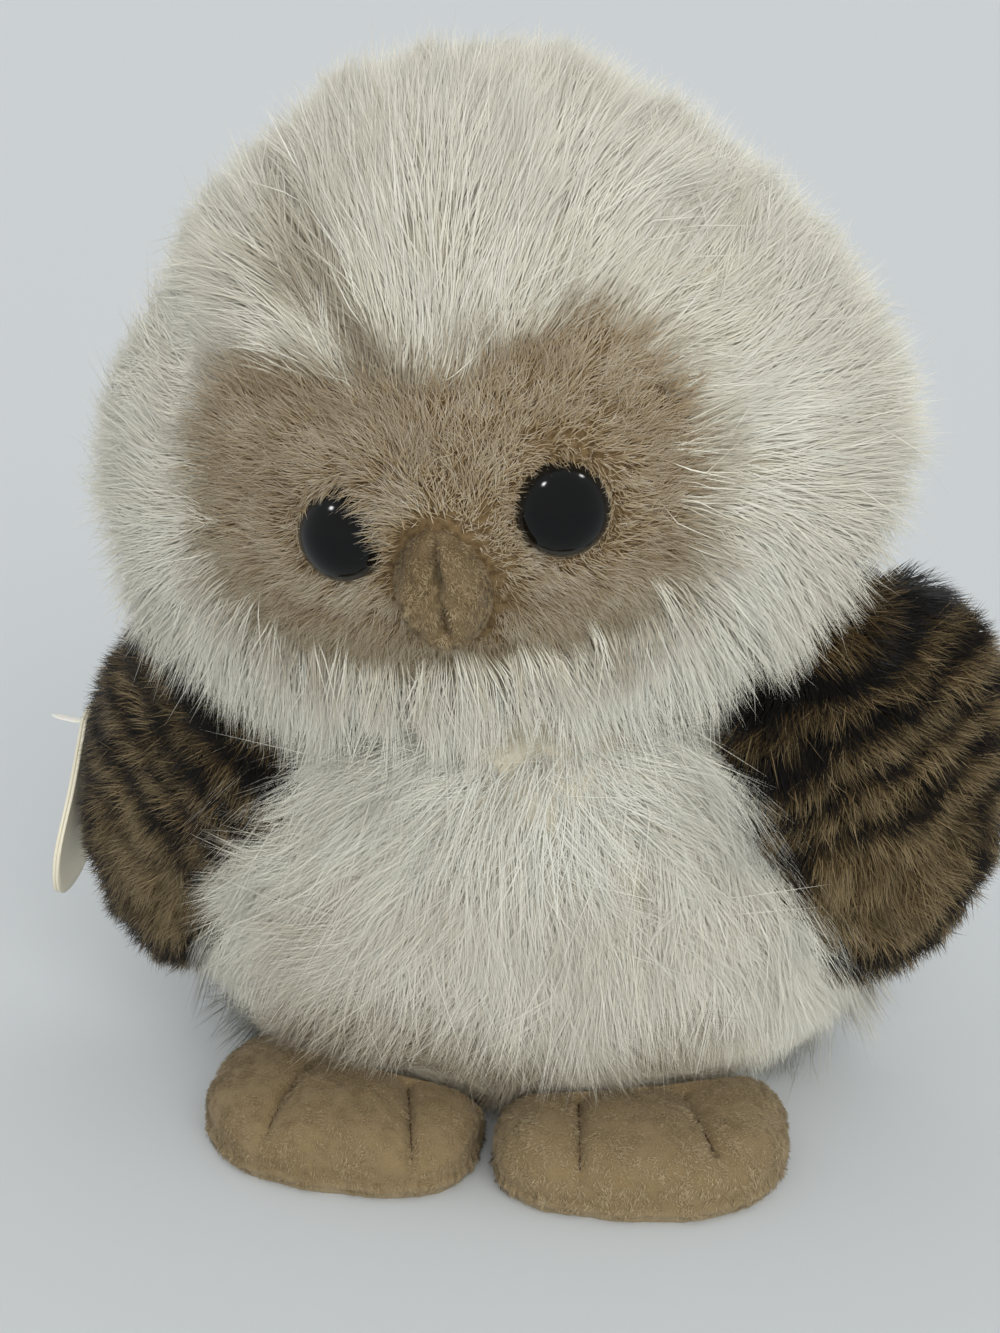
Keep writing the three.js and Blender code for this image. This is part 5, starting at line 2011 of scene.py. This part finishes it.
        for number, name in enumerate(("inner", "outer")):
            t = np.linspace(0.02, 0.92, 15)
            flat = self.toe_line(number, t) * [mirror, -1]
            line = np.column_stack([flat, self.height(flat[:, 0], flat[:, 1]) + 0.15])
            way = unit(np.gradient(line, axis=0)) + [0, 0, 0.1]
            piece = beads(f"{body}_{name}_stitches", place.out(line), unit(way), self.stitch, self.thread)
            dressed(piece, f.thread, body, [f"toe_stitch_{word}_{name}"])


@dataclass
class Tag:
    """A bare folded card on a moulded fastener, at the rim of the right wing."""

    finishes: Finishes
    length: float = 49.0
    width: float = 28.0
    thick: float = 1.5
    leaf_thick: float = 0.7
    outer_leaf: float = 0.8  # where the outer leaf starts
    hole: float = 1.2
    hole_down: float = 5.0
    off: float = 2.0  # from the wing's rim
    hang: float = 0.25
    thread_in: float = 12.0  # the fastener's length inside the wing
    thread_out: float = 12.5  # and outside it
    place: Place = TAG_PLACE
    shares: tuple[tuple[float, float], ...] = (
        (0.0, 0.0), (0.17, -0.035), (0.22, -0.13), (0.32, -0.38), (0.5, -0.7), (0.36, -0.93), (0.0, -1.0),
    )  # fmt: skip

    def leaf(self, name: str, low: float, high: float) -> Piece:
        """One leaf of the card: rings from the hole out to the outline on one face, round the edge, and back
        on the other, so the surface joins up both ways.

        Args:
            name: the piece's name.
            low: its near face, in mm from the rim of the wing.
            high: its far face.

        Returns:
            The object.
        """
        t = np.arange(120) / 120
        edge = through(mirrored(self.shares), t, closed=True)
        edge = edge * [self.width, self.length] + [0, self.hole_down]
        a = np.arctan2(edge[:, 1], edge[:, 0])
        rim = np.stack([np.cos(a), np.sin(a)], -1) * self.hole
        share = np.concatenate([np.linspace(0, 1, 14), np.linspace(1, 0, 14)])
        inset = 1 - 0.35 * np.clip((np.abs(share - 0.5) * 2 - 0.86) / 0.14, 0, 1) * (share > 0.5) / self.width
        flat = rim + (edge - rim) * (share * inset)[:, None, None]
        face = np.concatenate([np.full(14, low), np.full(14, high)])[:, None]
        bow = 0.5 * ((flat[..., 1] - 5) / self.length) ** 2 - 0.3 * (flat[..., 0] / self.width) ** 2
        x = -(face + bow)
        points = np.stack([x, flat[..., 0], flat[..., 1] - self.hang], -1)
        return ring_grid(name, self.place.out(points))

    def build(self) -> None:
        """Builds the card and its fastener."""
        f = self.finishes
        near = self.leaf("tag_inner_leaf", self.off, self.off + self.leaf_thick)
        dressed(near, f.card, "tag", ["hang_tag"])
        far = self.leaf("tag_outer_leaf", self.off + self.outer_leaf, self.off + self.thick)
        dressed(far, f.card, "tag")
        # The thread widens into a thin pointed paddle outside the tag
        t = np.linspace(0, 1, 60)
        x = self.thread_in - (self.thread_in + self.thread_out) * t
        paddle = smooth(-x, 4.6, 6.4)
        end = np.sqrt(np.clip((self.thread_out + x) / 2.5, 0, 1))
        a = TURN * np.arange(16) / 16
        broad = (0.6 + 0.7 * paddle) * end
        flat = (0.6 - 0.15 * paddle) * end
        along = np.broadcast_to(x[:, None], (60, 16))
        points = np.stack([along, -broad[:, None] * np.cos(a), flat[:, None] * np.sin(a)], -1)
        points[0, :, 1:] = points[-1, :, 1:] = 0.0
        piece = closed_grid("fastener", self.place.out(points))
        path = np.array([[self.thread_in, y, 0.0] for y in (-4.5, -3, 0, 3, 4.5)])
        bar = tube("fastener_bar", self.place.out(path), np.array([0.45, 0.7, 0.7, 0.7, 0.45]))
        dressed(piece, f.nylon, "wing_right", ["tag_fastener"])
        dressed(bar, f.nylon, "wing_right")


@dataclass(frozen=True)
class Studio:
    """A pale floor, soft light from above and in front, and the camera at the photograph's angle."""

    azimuth: float = 9.5  # degrees to the owl's left
    elevation: float = 20.0
    distance: float = 480.0
    target: tuple[float, float, float] = (-4.0, 0.0, 100.0)
    lens: float = 59.06  # 2187 of the picture's 1333 lines, on a 36 mm sensor
    floor: str = "#d8dcdd"
    floor_size: float = 6000.0  # half of its side
    spread: float = 12.0  # degrees that the two small lamps light
    sky: str = "#f4f6f8"
    sky_strength: float = 0.72

    def camera(self) -> None:
        """The camera looks at the target from its angle and distance."""
        a, e = math.radians(self.azimuth), math.radians(self.elevation)
        back = Vector((math.sin(a) * math.cos(e), -math.cos(a) * math.cos(e), math.sin(e)))
        data = bpy.data.cameras.new("Camera")
        data.lens, data.sensor_width, data.clip_end = self.lens, 36.0, 50.0
        camera = bpy.data.objects.new("Camera", data)
        turn = (-back).to_track_quat("-Z", "Y").to_matrix().to_4x4()
        camera.matrix_world = Matrix.Translation((Vector(self.target) + back * self.distance) * MM) @ turn
        bpy.context.scene.collection.objects.link(camera)
        bpy.context.scene.camera = camera

    def light(self, name: str, kind: str, place: Sequence[float], power: float, size: float,
              aim: Sequence[float] = (0, 0, 0.1)) -> Piece:  # fmt: skip
        """A lamp.

        Args:
            name: its name.
            kind: SUN or AREA.
            place: in metres.
            power: watts, or watts per square metre for the sun.
            size: metres across, or degrees for the sun.
            aim: in metres.

        Returns:
            The lamp.
        """
        data = bpy.data.lights.new(name, kind)
        data.energy = power
        if kind == "SUN":
            data.angle = math.radians(size)
        else:
            data.shape, data.size, data.spread = "DISK", size, math.radians(self.spread)
        lamp = bpy.data.objects.new(name, data)
        way = Vector(aim) - Vector(place)
        lamp.matrix_world = Matrix.Translation(place) @ way.to_track_quat("-Z", "Y").to_matrix().to_4x4()
        bpy.context.scene.collection.objects.link(lamp)
        return lamp

    def build(self) -> None:
        """Builds the stage."""
        self.camera()
        # Broad soft light from in front and above, which the eyes don't mirror
        self.light("Window", "SUN", (0.55, -1.2, 0.85), 1.1, 50.0).visible_glossy = False
        self.light("Front", "SUN", (0.25, -1.3, 0.35), 0.6, 60.0).visible_glossy = False
        # A small lamp for each eye, which only gloss shows
        for name, place, power, size, aim in (
            ("Spark left", (0.8, 0.4, 1.33), 0.02, 0.25, (0.02, -0.065, 0.157)),
            ("Spark right", (-0.77, -0.45, 1.37), 0.1, 0.4, (-0.024, -0.067, 0.154)),
        ):
            self.light(name, "AREA", place, power, size, aim).visible_diffuse = False
        world = bpy.data.worlds.new("Room")
        world.use_nodes = True
        sky = world.node_tree.nodes["Background"].inputs
        sky["Color"].default_value, sky["Strength"].default_value = linear(self.sky), self.sky_strength
        bpy.context.scene.world = world
        g = Graph("Painted table top")
        g.feed(g.shader, {"Base Color": linear(self.floor), "Roughness": 0.8, "Specular IOR Level": 0.2})
        corners = np.array([[-1, -1, 0], [1, -1, 0], [1, 1, 0], [-1, 1, 0]]) * self.floor_size
        floor = put_mesh("floor", corners.astype(float), np.array([[0, 1, 2, 3]]), soft=False)
        floor.data.materials.append(g.material)
        bpy.context.scene.view_settings.view_transform = "Standard"


def main() -> None:
    """Loads the frame and builds the sub-assemblies in order."""
    logging.basicConfig(level=logging.INFO, format="%(message)s")
    for thing in list(bpy.data.objects):
        bpy.data.objects.remove(thing)
    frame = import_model()
    Studio().build()
    finishes = Finishes()
    Head(finishes, frame["nodes"]).build()
    Body(finishes).build()
    for side in Side:
        Wing(finishes, side).build()
        Foot(finishes, side).build()
    Tag(finishes).build()


if __name__ == "__main__":
    main()
